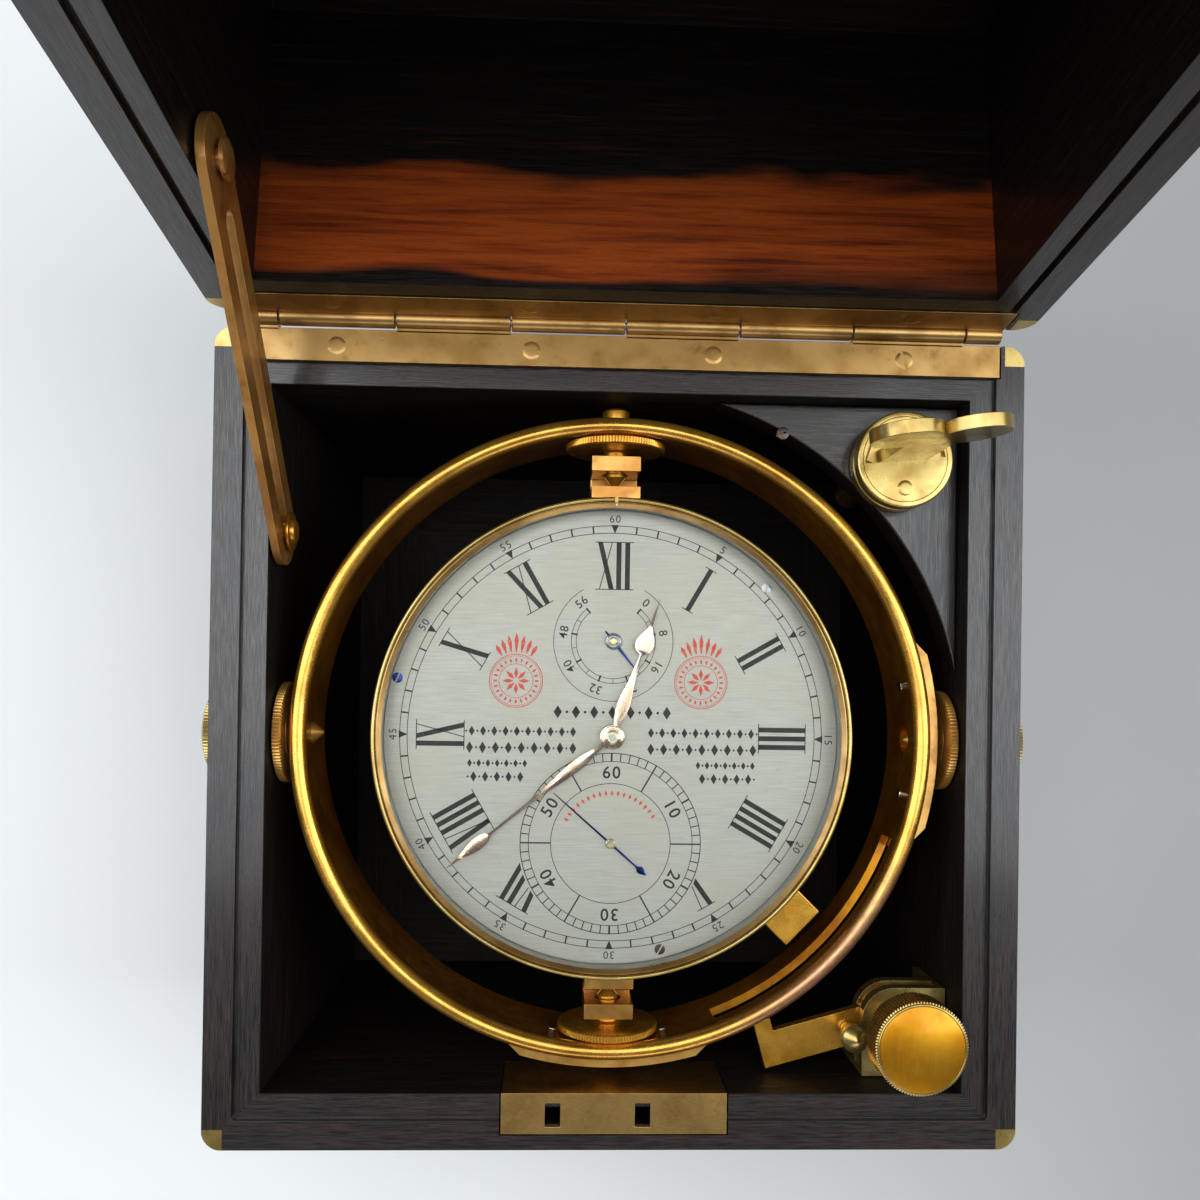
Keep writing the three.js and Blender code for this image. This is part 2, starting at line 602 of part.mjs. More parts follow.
// Cock that carries the staff's outer pivot, standing on the back plate beside the balance.
function balanceCock() {
  const foot = block(-5, 5, -22, -17.5, -54.6, BACK_PLATE.bottom - GAP);
  const arm = block(-3.5, 3.5, -18, 3, -54.6, -53.1);
  return join(foot, arm).rotateZ(rad(-150)).translate(BALANCE.x, BALANCE.y, 0);
}

function detent() {
  const spring = block(-24, -9, -34.6, -34, -36.2, -35.2);
  const foot = block(-27, -22, -36.4, -32.4, -36.6, BACK_PLATE.bottom - GAP);
  return join(spring, foot);
}

// The straight run of chain between the barrel and the fusee.
function fuseeChain() {
  const from = new THREE.Vector2(BARREL.x, BARREL.y - 16.6);
  const to = new THREE.Vector2(FUSEE.x, FUSEE.y - 14.6);
  const length = from.distanceTo(to);
  const run = block(0, length, -0.3, 0.3, -21.4, -20);
  return run.rotateZ(Math.atan2(to.y - from.y, to.x - from.x)).translate(from.x, from.y, 0);
}

function reserveWheel() {
  return join(gear(7.6, 6.9, 20, 0.4, 1.4), rod(0.7, -2.6, 3.8, 8)).translate(0, RESERVE_Y, 0);
}

// ---- gimbal lock, in plan around the arm's pivot ----
const lockX = GIMBAL_X + LOCK_DISTANCE * Math.cos(rad(LOCK_ANGLE));
const lockY = GIMBAL_Y + LOCK_DISTANCE * Math.sin(rad(LOCK_ANGLE));

function lockArm() {
  const half = ARM_WIDTH / 2;
  const bottom = -ARM_THICKNESS / 2;
  const top = ARM_THICKNESS / 2;
  const body = join(rod(6.2, bottom, top, 24), block(0, ARM_LENGTH, -half, half, bottom, top),
    block(ARM_LENGTH - 4, ARM_LENGTH, -half - 3, 0, bottom, top));
  return cut(body, rod(2.9, bottom - 1, top + 1, 16));
}

function armKnob() {
  const seat = ARM_THICKNESS / 2 + GAP;
  return turned([[1.6, seat], [1.6, seat + 2], [2.4, seat + 3], [3.2, seat + 8], [2.6, seat + 9.2]], 20);
}

// Corner bracket: two shelves for the arm, joined by flanges against both walls.
function lockBracket() {
  const right = INNER - GAP - lockX;
  const front = -INNER + GAP - lockY;
  const outline = new THREE.Shape();
  outline.moveTo(right, front);
  outline.lineTo(right, 7.5);
  outline.lineTo(0, 7.5);
  outline.absarc(0, 0, 7.5, Math.PI / 2, Math.PI);
  outline.lineTo(-7.5, front);
  const shelves = [plate(outline, -4.6, -1.6, 8), plate(outline, 1.6, 4.4, 8)];
  const flanges = [block(right - 1.5, right, front, 7.5, -14, 4.4),
    block(-7.5, right, front, front + 1.5, -14, 4.4)];
  return cut(join(...shelves, ...flanges), rod(2.9, -6, 6, 16));
}

function lockThumbscrew() {
  const rim = BOX_HEIGHT - GIMBAL_Z;
  return turned([[2.4, -6], [2.4, 5], [4.6, 5], [4.6, rim + 1], [THUMB_RADIUS - 1, rim + 1.4],
    [THUMB_RADIUS, rim + 2.2], [THUMB_RADIUS, rim + 9.4], [THUMB_RADIUS - 0.6, rim + 10]], 24);
}

// ---- winding key and its shelf ----
function keyShelf() {
  const edge = INNER - GAP;
  const run = (offset) => Math.sqrt(SHELF_ARC ** 2 - (edge - offset) ** 2);
  const alongBack = GIMBAL_X + run(GIMBAL_Y);
  const alongSide = GIMBAL_Y + run(GIMBAL_X);
  const startAngle = Math.atan2(alongSide - GIMBAL_Y, edge - GIMBAL_X);
  const endAngle = Math.atan2(edge - GIMBAL_Y, alongBack - GIMBAL_X);
  const shape = new THREE.Shape();
  shape.moveTo(alongBack, edge);
  shape.absarc(GIMBAL_X, GIMBAL_Y, SHELF_ARC, endAngle, startAngle, true);
  shape.lineTo(edge, edge);
  const slab = plate(shape, SHELF_TOP - SHELF_THICKNESS, SHELF_TOP, 16);
  const hole = rod(4.2, SHELF_TOP - SHELF_THICKNESS - 1, SHELF_TOP + 1, 20);
  return cut(slab, hole.translate(KEY_X, KEY_Y, 0));
}

function keyPipe() {
  const seat = SHELF_TOP + GAP;
  const body = turned([[3.6, SHELF_TOP - 40], [3.6, seat], [KEY_RADIUS, seat],
    [KEY_RADIUS, seat + 3.3]], 32);
  const socket = block(-1.9, 1.9, -1.9, 1.9, SHELF_TOP - 41, SHELF_TOP - 25);
  return cut(body, socket);
}

// Ratchet cap with the butterfly grip standing on it.
function keyHandle() {
  const seat = SHELF_TOP + GAP + 3.6;
  const cap = rod(KEY_RADIUS, seat, seat + 3.2, 32);
  const lobeZ = seat + 25.6;
  const lobe = (side) => aimed(rod(LOBE_RADIUS, -GRIP_HALF_THICKNESS, GRIP_HALF_THICKNESS, 24), [0, 1, 0])
    .translate(side * LOBE_OFFSET, 0, lobeZ);
  const web = block(-GRIP_HALF_WAIST, GRIP_HALF_WAIST, -GRIP_HALF_THICKNESS, GRIP_HALF_THICKNESS,
    seat + 2, lobeZ);
  const grip = join(web, lobe(-1), lobe(1)).translate(0, GRIP_BACK, 0).rotateZ(rad(GRIP_TURN));
  return join(cap, grip);
}

// ---- assembly ----
function buildBox(object) {
  add(object, 'box_carcass', boxCarcass(), EBONY);
  add(object, 'keyhole_escutcheon', keyholeEscutcheon(), BRASS);
  add(object, 'box_hinge_leaf', hingeLeaf(BOX_HEIGHT - LEAF_THICKNESS, BOX_HEIGHT, 0), BRASS);
  add(object, 'hinge_pin', hingePin().translate(0, HINGE_Y, HINGE_Z), STEEL);
  add(object, 'lock_plate', lockPlate(), BRASS);
  add(object, 'lock_bolt', lockBolt(), STEEL);
  add(object, 'key_shelf', keyShelf(), EBONY);
  const wallFace = -INNER + GAP;
  add(object, 'stay_stud', stayFixing(4.4).translate(wallFace, studY, studZ), BRASS);
}

function buildLid(object) {
  const lid = groupAt(object, 0, HINGE_Y, HINGE_Z);
  lid.rotation.x = rad(-LID_OPEN_ANGLE);
  const toHinge = (geometry) => geometry.translate(0, -HINGE_Y, -HINGE_Z);
  add(lid, 'lid_shell', toHinge(lidShell()), EBONY);
  add(lid, 'lid_hinge_leaf', toHinge(hingeLeaf(LID_RIM, LID_RIM + LEAF_THICKNESS, 1)), BRASS);
  add(lid, 'lid_strike', toHinge(lidStrike()), BRASS);
}

function buildStay(object) {
  const pivot = groupAt(object, 0, stayPivotY, stayPivotZ);
  add(pivot, 'stay_pivot_screw', stayFixing(3.6).translate(-INNER + GAP, 0, 0), BRASS);
  const stay = groupAt(pivot, STAY_X, 0, 0);
  stay.rotation.x = Math.atan2(studZ - stayPivotZ, studY - stayPivotY);
  add(stay, 'lid_stay', lidStay(), BRASS);
}

function buildPivots(object) {
  const centre = groupAt(object, 0, GIMBAL_Y, GIMBAL_Z);
  const sides = { left: [-1, 0, 0], right: [1, 0, 0] };
  Object.entries(sides).forEach(([side, direction]) => {
    add(centre, `${side}_box_pivot`, aimed(boxPivotScrew(INNER), direction), BRASS);
    const nut = outerNut().translate(0, 0, HALF + GAP);
    add(centre, `${side}_outer_nut`, aimed(nut, direction), BRASS);
  });
}

function buildRing(gimbals) {
  add(gimbals, 'gimbal_ring', gimbalRing(), GILT);
  add(gimbals, 'right_ring_plate', ringPlate(0, 21, 15.5), GILT);
  add(gimbals, 'front_ring_plate', ringPlate(-90, 21, 15.5), GILT);
  add(gimbals, 'rear_bowl_pivot', aimed(bowlPivotScrew(), [0, 1, 0]), BRASS);
  add(gimbals, 'front_bowl_pivot', aimed(bowlPivotScrew(), [0, -1, 0]), BRASS);
}

function buildBowl(gimbals) {
  add(gimbals, 'bowl_shell', bowlShell(), GILT);
  add(gimbals, 'rear_trunnion', trunnionBlock(), GILT);
  add(gimbals, 'front_trunnion', trunnionBlock().rotateZ(Math.PI), GILT);
  add(gimbals, 'bowl_catch', bowlCatch(), GILT);
  add(gimbals, 'bezel', bezel(), BRASS);
  add(gimbals, 'crystal', rod(BOWL_OUTER, 7.5, 9, 40), GLASS);
  add(gimbals, 'dial', dial(), SILVERED);
  add(gimbals, 'dust_shutter', dustShutter(), GILT);
}

function buildHands(gimbals) {
  const pointing = (geometry, clockDegrees) => geometry.rotateZ(rad(90 - clockDegrees));
  add(gimbals, 'hour_hand', pointing(hourHand(), 18.5), ROSE_GOLD);
  add(gimbals, 'minute_hand', pointing(minuteHand(), 231), ROSE_GOLD);
  const seconds = pointing(needleHand(11, 17.6, 4.2, 4.5), 131);
  add(gimbals, 'seconds_hand', seconds.translate(0, SECONDS_Y, 0), BLUED);
  const reserve = pointing(needleHand(8.2, 3, 4.2, 4.5), 141);
  add(gimbals, 'up_down_hand', reserve.translate(0, RESERVE_Y, 0), BLUED);
}

function buildMovement(gimbals) {
  add(gimbals, 'pillar_plate', pillarPlate(), GILT);
  add(gimbals, 'back_plate', backPlate(), GILT);
  add(gimbals, 'spring_barrel', barrel(), GILT);
  add(gimbals, 'fusee', fusee(), GILT);
  add(gimbals, 'great_wheel', greatWheel(), GILT);
  add(gimbals, 'fusee_chain', fuseeChain(), STEEL);
  add(gimbals, 'centre_wheel', centreWheel(), GILT);
  add(gimbals, 'third_wheel', thirdWheel(), GILT);
  add(gimbals, 'fourth_wheel', fourthWheel(), GILT);
  add(gimbals, 'escape_wheel', escapeWheel(), GILT);
  add(gimbals, 'detent', detent(), STEEL);
  add(gimbals, 'balance_wheel', balanceWheel(), GILT);
  add(gimbals, 'balance_spring', balanceSpring(), BLUED);
  add(gimbals, 'balance_cock', balanceCock(), GILT);
  add(gimbals, 'up_down_wheel', reserveWheel(), GILT);
}

function buildGimbalLock(object) {
  const lock = groupAt(object, lockX, lockY, GIMBAL_Z);
  add(lock, 'lock_bracket', lockBracket(), BRASS);
  add(lock, 'lock_thumbscrew', lockThumbscrew(), BRASS);
  const arm = groupAt(lock, 0, 0, 0);
  arm.rotation.z = rad(ARM_REST_ANGLE);
  add(arm, 'lock_arm', lockArm(), GILT);
  add(arm, 'lock_arm_knob', armKnob().translate(10.7, 0, 0), BRASS);
}

function buildKey(object) {
  const key = groupAt(object, KEY_X, KEY_Y, 0);
  add(key, 'key_pipe', keyPipe(), BRASS);
  add(key, 'key_handle', keyHandle(), BRASS);
}

const chronometer = new THREE.Group();
buildBox(chronometer);
buildLid(chronometer);
buildStay(chronometer);
buildPivots(chronometer);
const gimbals = groupAt(chronometer, GIMBAL_X, GIMBAL_Y, GIMBAL_Z);
buildRing(gimbals);
buildBowl(gimbals);
buildHands(gimbals);
buildMovement(gimbals);
buildGimbalLock(chronometer);
buildKey(chronometer);

export default chronometer;
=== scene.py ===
# The looks of a marine chronometer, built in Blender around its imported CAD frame.
# Lengths are written in millimetres and scaled by MM when an object is made.
import json
import math

import bmesh
import bpy
from mathutils import Matrix, Vector


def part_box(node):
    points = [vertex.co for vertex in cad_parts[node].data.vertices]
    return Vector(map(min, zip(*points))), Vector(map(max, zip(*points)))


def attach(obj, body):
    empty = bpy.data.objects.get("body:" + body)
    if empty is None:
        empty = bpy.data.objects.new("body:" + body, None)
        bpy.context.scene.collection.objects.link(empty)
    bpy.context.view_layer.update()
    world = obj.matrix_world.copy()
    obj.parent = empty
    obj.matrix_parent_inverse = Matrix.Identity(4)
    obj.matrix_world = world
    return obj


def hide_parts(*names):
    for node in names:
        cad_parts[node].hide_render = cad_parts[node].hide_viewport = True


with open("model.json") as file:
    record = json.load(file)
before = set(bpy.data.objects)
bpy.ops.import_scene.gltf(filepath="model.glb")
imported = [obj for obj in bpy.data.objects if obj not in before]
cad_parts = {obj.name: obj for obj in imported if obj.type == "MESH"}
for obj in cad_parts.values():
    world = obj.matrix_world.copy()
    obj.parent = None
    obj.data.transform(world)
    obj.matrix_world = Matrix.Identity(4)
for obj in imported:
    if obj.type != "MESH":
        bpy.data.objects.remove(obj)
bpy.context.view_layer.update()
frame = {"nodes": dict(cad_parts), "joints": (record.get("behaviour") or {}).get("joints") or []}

MM = 0.001
NODES = frame["nodes"]


def mm_box(node):
    """Lowest and highest corner of a CAD node, in millimetres."""
    low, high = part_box(node)
    return low / MM, high / MM


def joint_axis(name):
    """A joint's point, in millimetres."""
    return next(Vector(j["pos_m"]) / MM for j in frame["joints"] if j["name"] == name)


# ---- places, worked out from the frame ----
GIMBAL = joint_axis("ring_gimbal")
HINGE = joint_axis("lid_hinge")
LOCK = joint_axis("lock_arm_swing")
KEY = joint_axis("key_ratchet")
SECONDS = joint_axis("seconds_spin")
RESERVE = joint_axis("up_down_spin")
CARCASS = mm_box("box_carcass")
RIM = CARCASS[1].z
HALF = CARCASS[1].x
WALL = 12.5
FLOOR = 8
LID_INNER_DEPTH = 63
INNER = HALF - WALL
LID_OPEN = 98.8
SLOPE = math.radians(LID_OPEN)
DIAL_LOW, DIAL_HIGH = mm_box("dial")
DIAL_Z = DIAL_HIGH.z
DIAL_RADIUS = (DIAL_HIGH.x - DIAL_LOW.x) / 2
HOUR_ANGLE = 18.5
MINUTE_ANGLE = 231
SECONDS_ANGLE = 131
RESERVE_ANGLE = 141


# ---- shapes ----
class Form:
    """Points in millimetres and faces over them, which can be turned, moved and added together."""

    def __init__(self, points, faces):
        self.points = [Vector(p) for p in points]
        self.faces = [tuple(f) for f in faces]

    def __add__(self, other):
        shift = len(self.points)
        moved = [tuple(i + shift for i in face) for face in other.faces]
        return Form(self.points + other.points, self.faces + moved)

    def changed(self, matrix):
        return Form([matrix @ p for p in self.points], self.faces)

    def at(self, x, y=None, z=None):
        place = Vector((x, y, z)) if z is not None else Vector(x)
        return self.changed(Matrix.Translation(place))

    def over(self, place, z=0.0):
        """Moved sideways to stand over a point, and up by z."""
        return self.at(place.x, place.y, z)

    def turned(self, degrees, axis="Z"):
        return self.changed(Matrix.Rotation(math.radians(degrees), 4, axis))

    def aimed(self, direction):
        turn = Vector((0, 0, 1)).rotation_difference(Vector(direction))
        return self.changed(turn.to_matrix().to_4x4())


def lathe(profile, sides=128):
    """Turns a closed or axis-to-axis profile of (radius, z) about Z."""
    closed = profile[0] == profile[-1]
    rows = profile[:-1] if closed else profile
    points, starts = [], []
    for radius, z in rows:
        starts.append(len(points))
        count = 1 if radius == 0 else sides
        for k in range(count):
            angle = 2 * math.pi * k / sides
            points.append((radius * math.cos(angle), radius * math.sin(angle), z))
    pairs = list(zip(range(len(rows)), range(1, len(rows))))
    if closed:
        pairs.append((len(rows) - 1, 0))
    faces = []
    for a, b in pairs:
        for k in range(sides):
            n = (k + 1) % sides
            low = [starts[a]] if rows[a][0] == 0 else [starts[a] + k, starts[a] + n]
            high = [starts[b]] if rows[b][0] == 0 else [starts[b] + n, starts[b] + k]
            if len(low) + len(high) > 2:
                faces.append(low + high)
    return Form(points, faces)


def prism(outline, z0, z1):
    """A straight-sided solid over an outline of (x, y)."""
    count = len(outline)
    points = [(x, y, z) for z in (z0, z1) for x, y in outline]
    faces = [tuple(reversed(range(count))), tuple(range(count, 2 * count))]
    for k in range(count):
        n = (k + 1) % count
        faces.append((k, n, n + count, k + count))
    return Form(points, faces)


def rod(radius, z0, z1, sides=32):
    return lathe([(0, z0), (radius, z0), (radius, z1), (0, z1)], sides)


def slab(x0, x1, y0, y1, z0, z1):
    return prism([(x0, y0), (x1, y0), (x1, y1), (x0, y1)], z0, z1)


def arc(radius, start, end, steps=32, centre=(0, 0)):
    """Points along an arc, in degrees anticlockwise from +X."""
    angles = [math.radians(start + (end - start) * k / steps) for k in range(steps + 1)]
    return [(centre[0] + radius * math.cos(a), centre[1] + radius * math.sin(a)) for a in angles]


def sector(inner, outer, start, end, z0, z1, steps=32):
    return prism(arc(outer, start, end, steps) + arc(inner, end, start, steps), z0, z1)


def serrated(radius, depth, count, z0, z1, chamfer=0.25):
    """A round rim with straight knurling, chamfered at both ends."""
    rows = [(radius - depth - chamfer, z0, 0), (radius - depth, z0 + chamfer, depth),
            (radius - depth, z1 - chamfer, depth), (radius - depth - chamfer, z1, 0)]
    points, faces = [], []
    steps = count * 4
    crest = (0, 0.75, 1, 0.75)
    for base, z, height in rows:
        for k in range(steps):
            angle = 2 * math.pi * k / steps
            r = base + height * crest[k % 4]
            points.append((r * math.cos(angle), r * math.sin(angle), z))
    for row in range(len(rows) - 1):
        for k in range(steps):
            n = (k + 1) % steps
            a, b = row * steps, (row + 1) * steps
            faces.append((a + k, a + n, b + n, b + k))
    faces.append(tuple(reversed(range(steps))))
    faces.append(tuple(range(3 * steps, 4 * steps)))
    return Form(points, faces)


def fillet(radius, height, drop=0.4, steps=3):
    """Profile rows of a rounded rim at the top of a turned piece."""
    rows = []
    for k in range(steps + 1):
        angle = math.pi / 2 * k / steps
        rows.append((radius - drop + drop * math.cos(angle), height - drop + drop * math.sin(angle)))
    return rows


# ---- making objects ----
SHARP_ANGLE = math.radians(32)
BEVEL_ANGLE = math.radians(33)


def smooth(mesh):
    mesh.shade_smooth()
    mesh.set_sharp_from_angle(angle=SHARP_ANGLE)


def add_object(name, data):
    """Puts a new object with the given mesh, curve, light or camera in the scene."""
    made = bpy.data.objects.new(name, data)
    bpy.context.scene.collection.objects.link(made)
    return made


def mesh_of(name, form):
    """A mesh in metres from a form, with its faces turned outwards."""
    mesh = bpy.data.meshes.new(name)
    mesh.from_pydata([p * MM for p in form.points], [], form.faces)
    work = bmesh.new()
    work.from_mesh(mesh)
    bmesh.ops.recalc_face_normals(work, faces=work.faces)
    work.to_mesh(mesh)
    work.free()
    return mesh


def make(name, form, material, body, replaces=(), bevel=0.0):
    """Makes a piece from a form, rides it on a body and hides the CAD nodes it stands for."""
    mesh = mesh_of(name, form)
    smooth(mesh)
    mesh.materials.append(material)
    piece = add_object(name, mesh)
    if bevel:
        soften(piece, bevel)
    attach(piece, body)
    if replaces:
        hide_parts(*replaces)
    return piece


def soften(piece, width):
    """Rounds a piece's sharp edges."""
    bevel = piece.modifiers.new("edges", "BEVEL")
    bevel.width = width * MM
    bevel.segments = 3
    bevel.limit_method = "ANGLE"
    bevel.angle_limit = BEVEL_ANGLE
    bevel.harden_normals = True
    bevel.use_clamp_overlap = True


def carve(piece, *forms):
    """Cuts forms out of a piece's mesh."""
    for form in forms:
        cutter = add_object("cutter", mesh_of("cutter", form))
        cut = piece.modifiers.new("cut", "BOOLEAN")
        cut.operation = "DIFFERENCE"
        cut.solver = "EXACT"
        cut.object = cutter
        graph = bpy.context.evaluated_depsgraph_get()
        result = bpy.data.meshes.new_from_object(piece.evaluated_get(graph))
        piece.modifiers.remove(cut)
        result.name = piece.data.name
        piece.data = result
        bpy.data.objects.remove(cutter)
    smooth(piece.data)


def smooth_group():
    """Geometry nodes that smooth a surface except across its sharp edges."""
    group = bpy.data.node_groups.new("smooth_by_angle", "GeometryNodeTree")
    group.interface.new_socket("Geometry", in_out="INPUT", socket_type="NodeSocketGeometry")
    group.interface.new_socket("Geometry", in_out="OUTPUT", socket_type="NodeSocketGeometry")
    nodes, links = group.nodes, group.links
    start = nodes.new("NodeGroupInput")
    end = nodes.new("NodeGroupOutput")
    faces = nodes.new("GeometryNodeSetShadeSmooth")
    edges = nodes.new("GeometryNodeSetShadeSmooth")
    edges.domain = "EDGE"
    edges.inputs["Shade Smooth"].default_value = False
    angle = nodes.new("GeometryNodeInputMeshEdgeAngle")
    sharp = nodes.new("FunctionNodeCompare")
    sharp.inputs["B"].default_value = SHARP_ANGLE
    links.new(angle.outputs["Unsigned Angle"], sharp.inputs["A"])
    links.new(start.outputs[0], faces.inputs["Geometry"])
    links.new(faces.outputs[0], edges.inputs["Geometry"])
    links.new(sharp.outputs["Result"], edges.inputs["Selection"])
    links.new(edges.outputs[0], end.inputs[0])
    return group


SMOOTH = smooth_group()


def finish_node(name, material, bevel=0.0):
    """Gives a CAD node its material, and modifiers that round its edges."""
    node = NODES[name]
    node.data.materials.clear()
    node.data.materials.append(material)
    weld = node.modifiers.new("weld", "WELD")
    weld.merge_threshold = 0.002 * MM
    shade = node.modifiers.new("smooth", "NODES")
    shade.node_group = SMOOTH
    if bevel:
        soften(node, bevel)


# ---- materials ----
def linear(hex_colour):
    """An sRGB colour as linear RGBA."""
    parts = [int(hex_colour[i:i + 2], 16) / 255 for i in (0, 2, 4)]
    return [p / 12.92 if p <= 0.04045 else ((p + 0.055) / 1.055) ** 2.4 for p in parts] + [1.0]


class Shader:
    """A material whose Principled shader is fed by procedural nodes in object coordinates."""

    def __init__(self, name, roughness=0.5, metallic=0.0, coat=0.0, coat_roughness=0.1, specular=0.5):
        self.material = bpy.data.materials.new(name)
        self.material.use_nodes = True
        self.nodes = self.material.node_tree.nodes
        self.links = self.material.node_tree.links
        self.shader = self.nodes["Principled BSDF"]
        for key, value in (("Roughness", roughness), ("Metallic", metallic), ("Coat Weight", coat),
                           ("Coat Roughness", coat_roughness), ("Specular IOR Level", specular)):
            self.shader.inputs[key].default_value = value
        self.place = self.nodes.new("ShaderNodeTexCoord").outputs["Object"]

    def feed(self, socket, value):
        """Links a socket to another one, or sets its value."""
        if isinstance(value, bpy.types.NodeSocket):
            self.links.new(value, socket)
        else:
            socket.default_value = value

    def node(self, kind, inputs=None, **settings):
        made = self.nodes.new(kind)
        for key, value in settings.items():
            setattr(made, key, value)
        for key, value in (inputs or {}).items():
            self.feed(made.inputs[key], value)
        return made

    def stretched(self, scale, rotation=(0, 0, 0), source=None):
        return self.node("ShaderNodeMapping", {"Vector": source or self.place, "Scale": scale,
                                               "Rotation": rotation}).outputs["Vector"]

    def noise(self, size, vector=None, detail=4.0, roughness=0.55, distortion=0.0):
        """Noise whose features are about size millimetres across."""
        inputs = {"Vector": vector or self.place, "Scale": 1 / (size * MM), "Detail": detail,
                  "Roughness": roughness, "Distortion": distortion}
        return self.node("ShaderNodeTexNoise", inputs).outputs["Fac"]

    def ramp(self, value, *stops):
        """A colour ramp; each stop is (position, hex colour)."""
        made = self.node("ShaderNodeValToRGB", {"Fac": value})
        elements = made.color_ramp.elements
        while len(elements) < len(stops):
            elements.new(0.5)
        for element, (position, colour) in zip(elements, stops):
            element.position = position
            element.color = linear(colour)
        return made.outputs["Color"]

    def fade(self, value, low, high, start=0.0, end=1.0):
        """Maps low..high onto start..end, smoothly and clamped."""
        return self.node("ShaderNodeMapRange", {"Value": value, "From Min": low, "From Max": high,
                                                "To Min": start, "To Max": end},
                         interpolation_type="SMOOTHSTEP").outputs["Result"]

    def maths(self, operation, *values):
        made = self.node("ShaderNodeMath", operation=operation)
        for socket, value in zip(made.inputs, values):
            self.feed(socket, value)
        return made.outputs[0]

    def plus(self, a, b):
        return self.maths("ADD", a, b)

    def minus(self, a, b):
        return self.maths("SUBTRACT", a, b)

    def times(self, a, b):
        return self.maths("MULTIPLY", a, b)

    def mix(self, factor, a, b):
        """A mix of two colours, each a socket or a hex colour."""
        made = self.node("ShaderNodeMix", data_type="RGBA")
        for index, value in ((0, factor), (6, a), (7, b)):
            self.feed(made.inputs[index], linear(value) if isinstance(value, str) else value)
        return made.outputs[2]

    def split(self, vector=None):
        parts = self.node("ShaderNodeSeparateXYZ", {"Vector": vector or self.place})
        return [parts.outputs[axis] for axis in "XYZ"]

    def bump(self, height, depth, strength=1.0, under=None):
        """Bump of the given depth in millimetres."""
        inputs = {"Height": height, "Distance": depth * MM, "Strength": strength}
        if under:
            inputs["Normal"] = under
        return self.node("ShaderNodeBump", inputs).outputs["Normal"]

    def use(self, colour=None, roughness=None, normal=None):
        for key, value in (("Base Color", colour), ("Roughness", roughness), ("Normal", normal)):
            if value is not None:
                self.feed(self.shader.inputs[key], value)
        return self.material


def metal(name, bright, dull, dark, roughness=0.24, brushed=None, grime=0.5, metallic=1.0):
    """Lacquered metal: cloudy tarnish, a few dark specks in the lacquer, fine scratches and brushing."""
    s = Shader(name, metallic=metallic, coat=0.25, coat_roughness=0.12)
    clouds = s.noise(9, detail=3)
    specks = s.noise(1.3, detail=1)
    stains = s.noise(4.5, detail=5, roughness=0.6)
    body = s.mix(s.fade(clouds, 0.38, 0.66), bright, dull)
    spotted = s.mix(s.fade(specks, 0.70, 0.78, 0, 0.6 * grime), body, dark)
    colour = s.mix(s.fade(stains, 0.56, 0.78, 0, grime), spotted, dark)
    along = s.stretched(brushed or (1, 1, 1))
    lines = s.noise(0.16 if brushed else 3.5, along, detail=2)
    rough = s.plus(s.fade(lines, 0.3, 0.7, roughness - 0.03, roughness + 0.04),
                    s.fade(stains, 0.5, 0.8, 0, 0.14))
    fine = s.bump(lines, 0.003)
    soft = s.bump(s.noise(14, detail=1), 0.05, under=fine)
    return s.use(colour, rough, soft)


def ring_metal():
    """The gimbal ring's amber lacquer, worn to a brownish pink where hands hold it at the lock; the wall
    below the bead carries painted shade.
    """
    s = Shader("gilt_ring", metallic=0.88, coat=0.4, coat_roughness=0.1)
    x, y, z = s.split()
    clouds = s.noise(14, detail=6)
    stains = s.noise(2.2, detail=8, roughness=0.7)
    specks = s.noise(0.45, detail=2)
    body = s.mix(s.fade(clouds, 0.36, 0.68), "e8b04a", "c48a30")
    lip = s.fade(z, (GIMBAL.z + 5.6) * MM, (GIMBAL.z + 7.6) * MM)
    # Painted shade: the inner wall below the bead gets a deeper, darker amber than the bead.
    wall = s.mix(s.fade(clouds, 0.40, 0.62), "e29418", "b86e10")
    warm = s.mix(lip, wall, body)
    corner = s.minus(x, y)
    worn = s.fade(corner, 0.086, 0.102)
    worn = s.times(s.times(worn, lip), s.fade(stains, 0.30, 0.52, 0.45, 0.95))
    patina = s.mix(worn, warm, "a5786a")
    spots = s.times(s.fade(stains, 0.58, 0.72), 0.5)
    colour = s.mix(spots, patina, "5a3410")
    colour = s.mix(s.fade(specks, 0.64, 0.74, 0, 0.5), colour, "6e4413")
    turned_wall = s.times(s.minus(1.0, lip), 0.10)
    rough = s.plus(s.fade(stains, 0.35, 0.75, 0.18, 0.34),
                    s.plus(s.times(worn, 0.14), turned_wall))
    normal = s.bump(specks, 0.004, under=s.bump(clouds, 0.06))
    return s.use(colour, rough, normal)


def wood_grain(s, place, side, length=26.0, width=0.9):
    """Fine grain along the pieces of a frame: along Y where side is 1, along X where it is 0."""
    x, y, z = s.split(place)
    along = s.plus(s.times(side, y),
                    s.times(s.minus(1.0, side), x))
    across = s.plus(s.times(side, x),
                     s.times(s.minus(1.0, side), y))
    return s.node("ShaderNodeCombineXYZ", {"X": s.maths("DIVIDE", along, length),
                                             "Y": s.maths("DIVIDE", across, width),
                                             "Z": s.maths("DIVIDE", z, width)}).outputs[0]


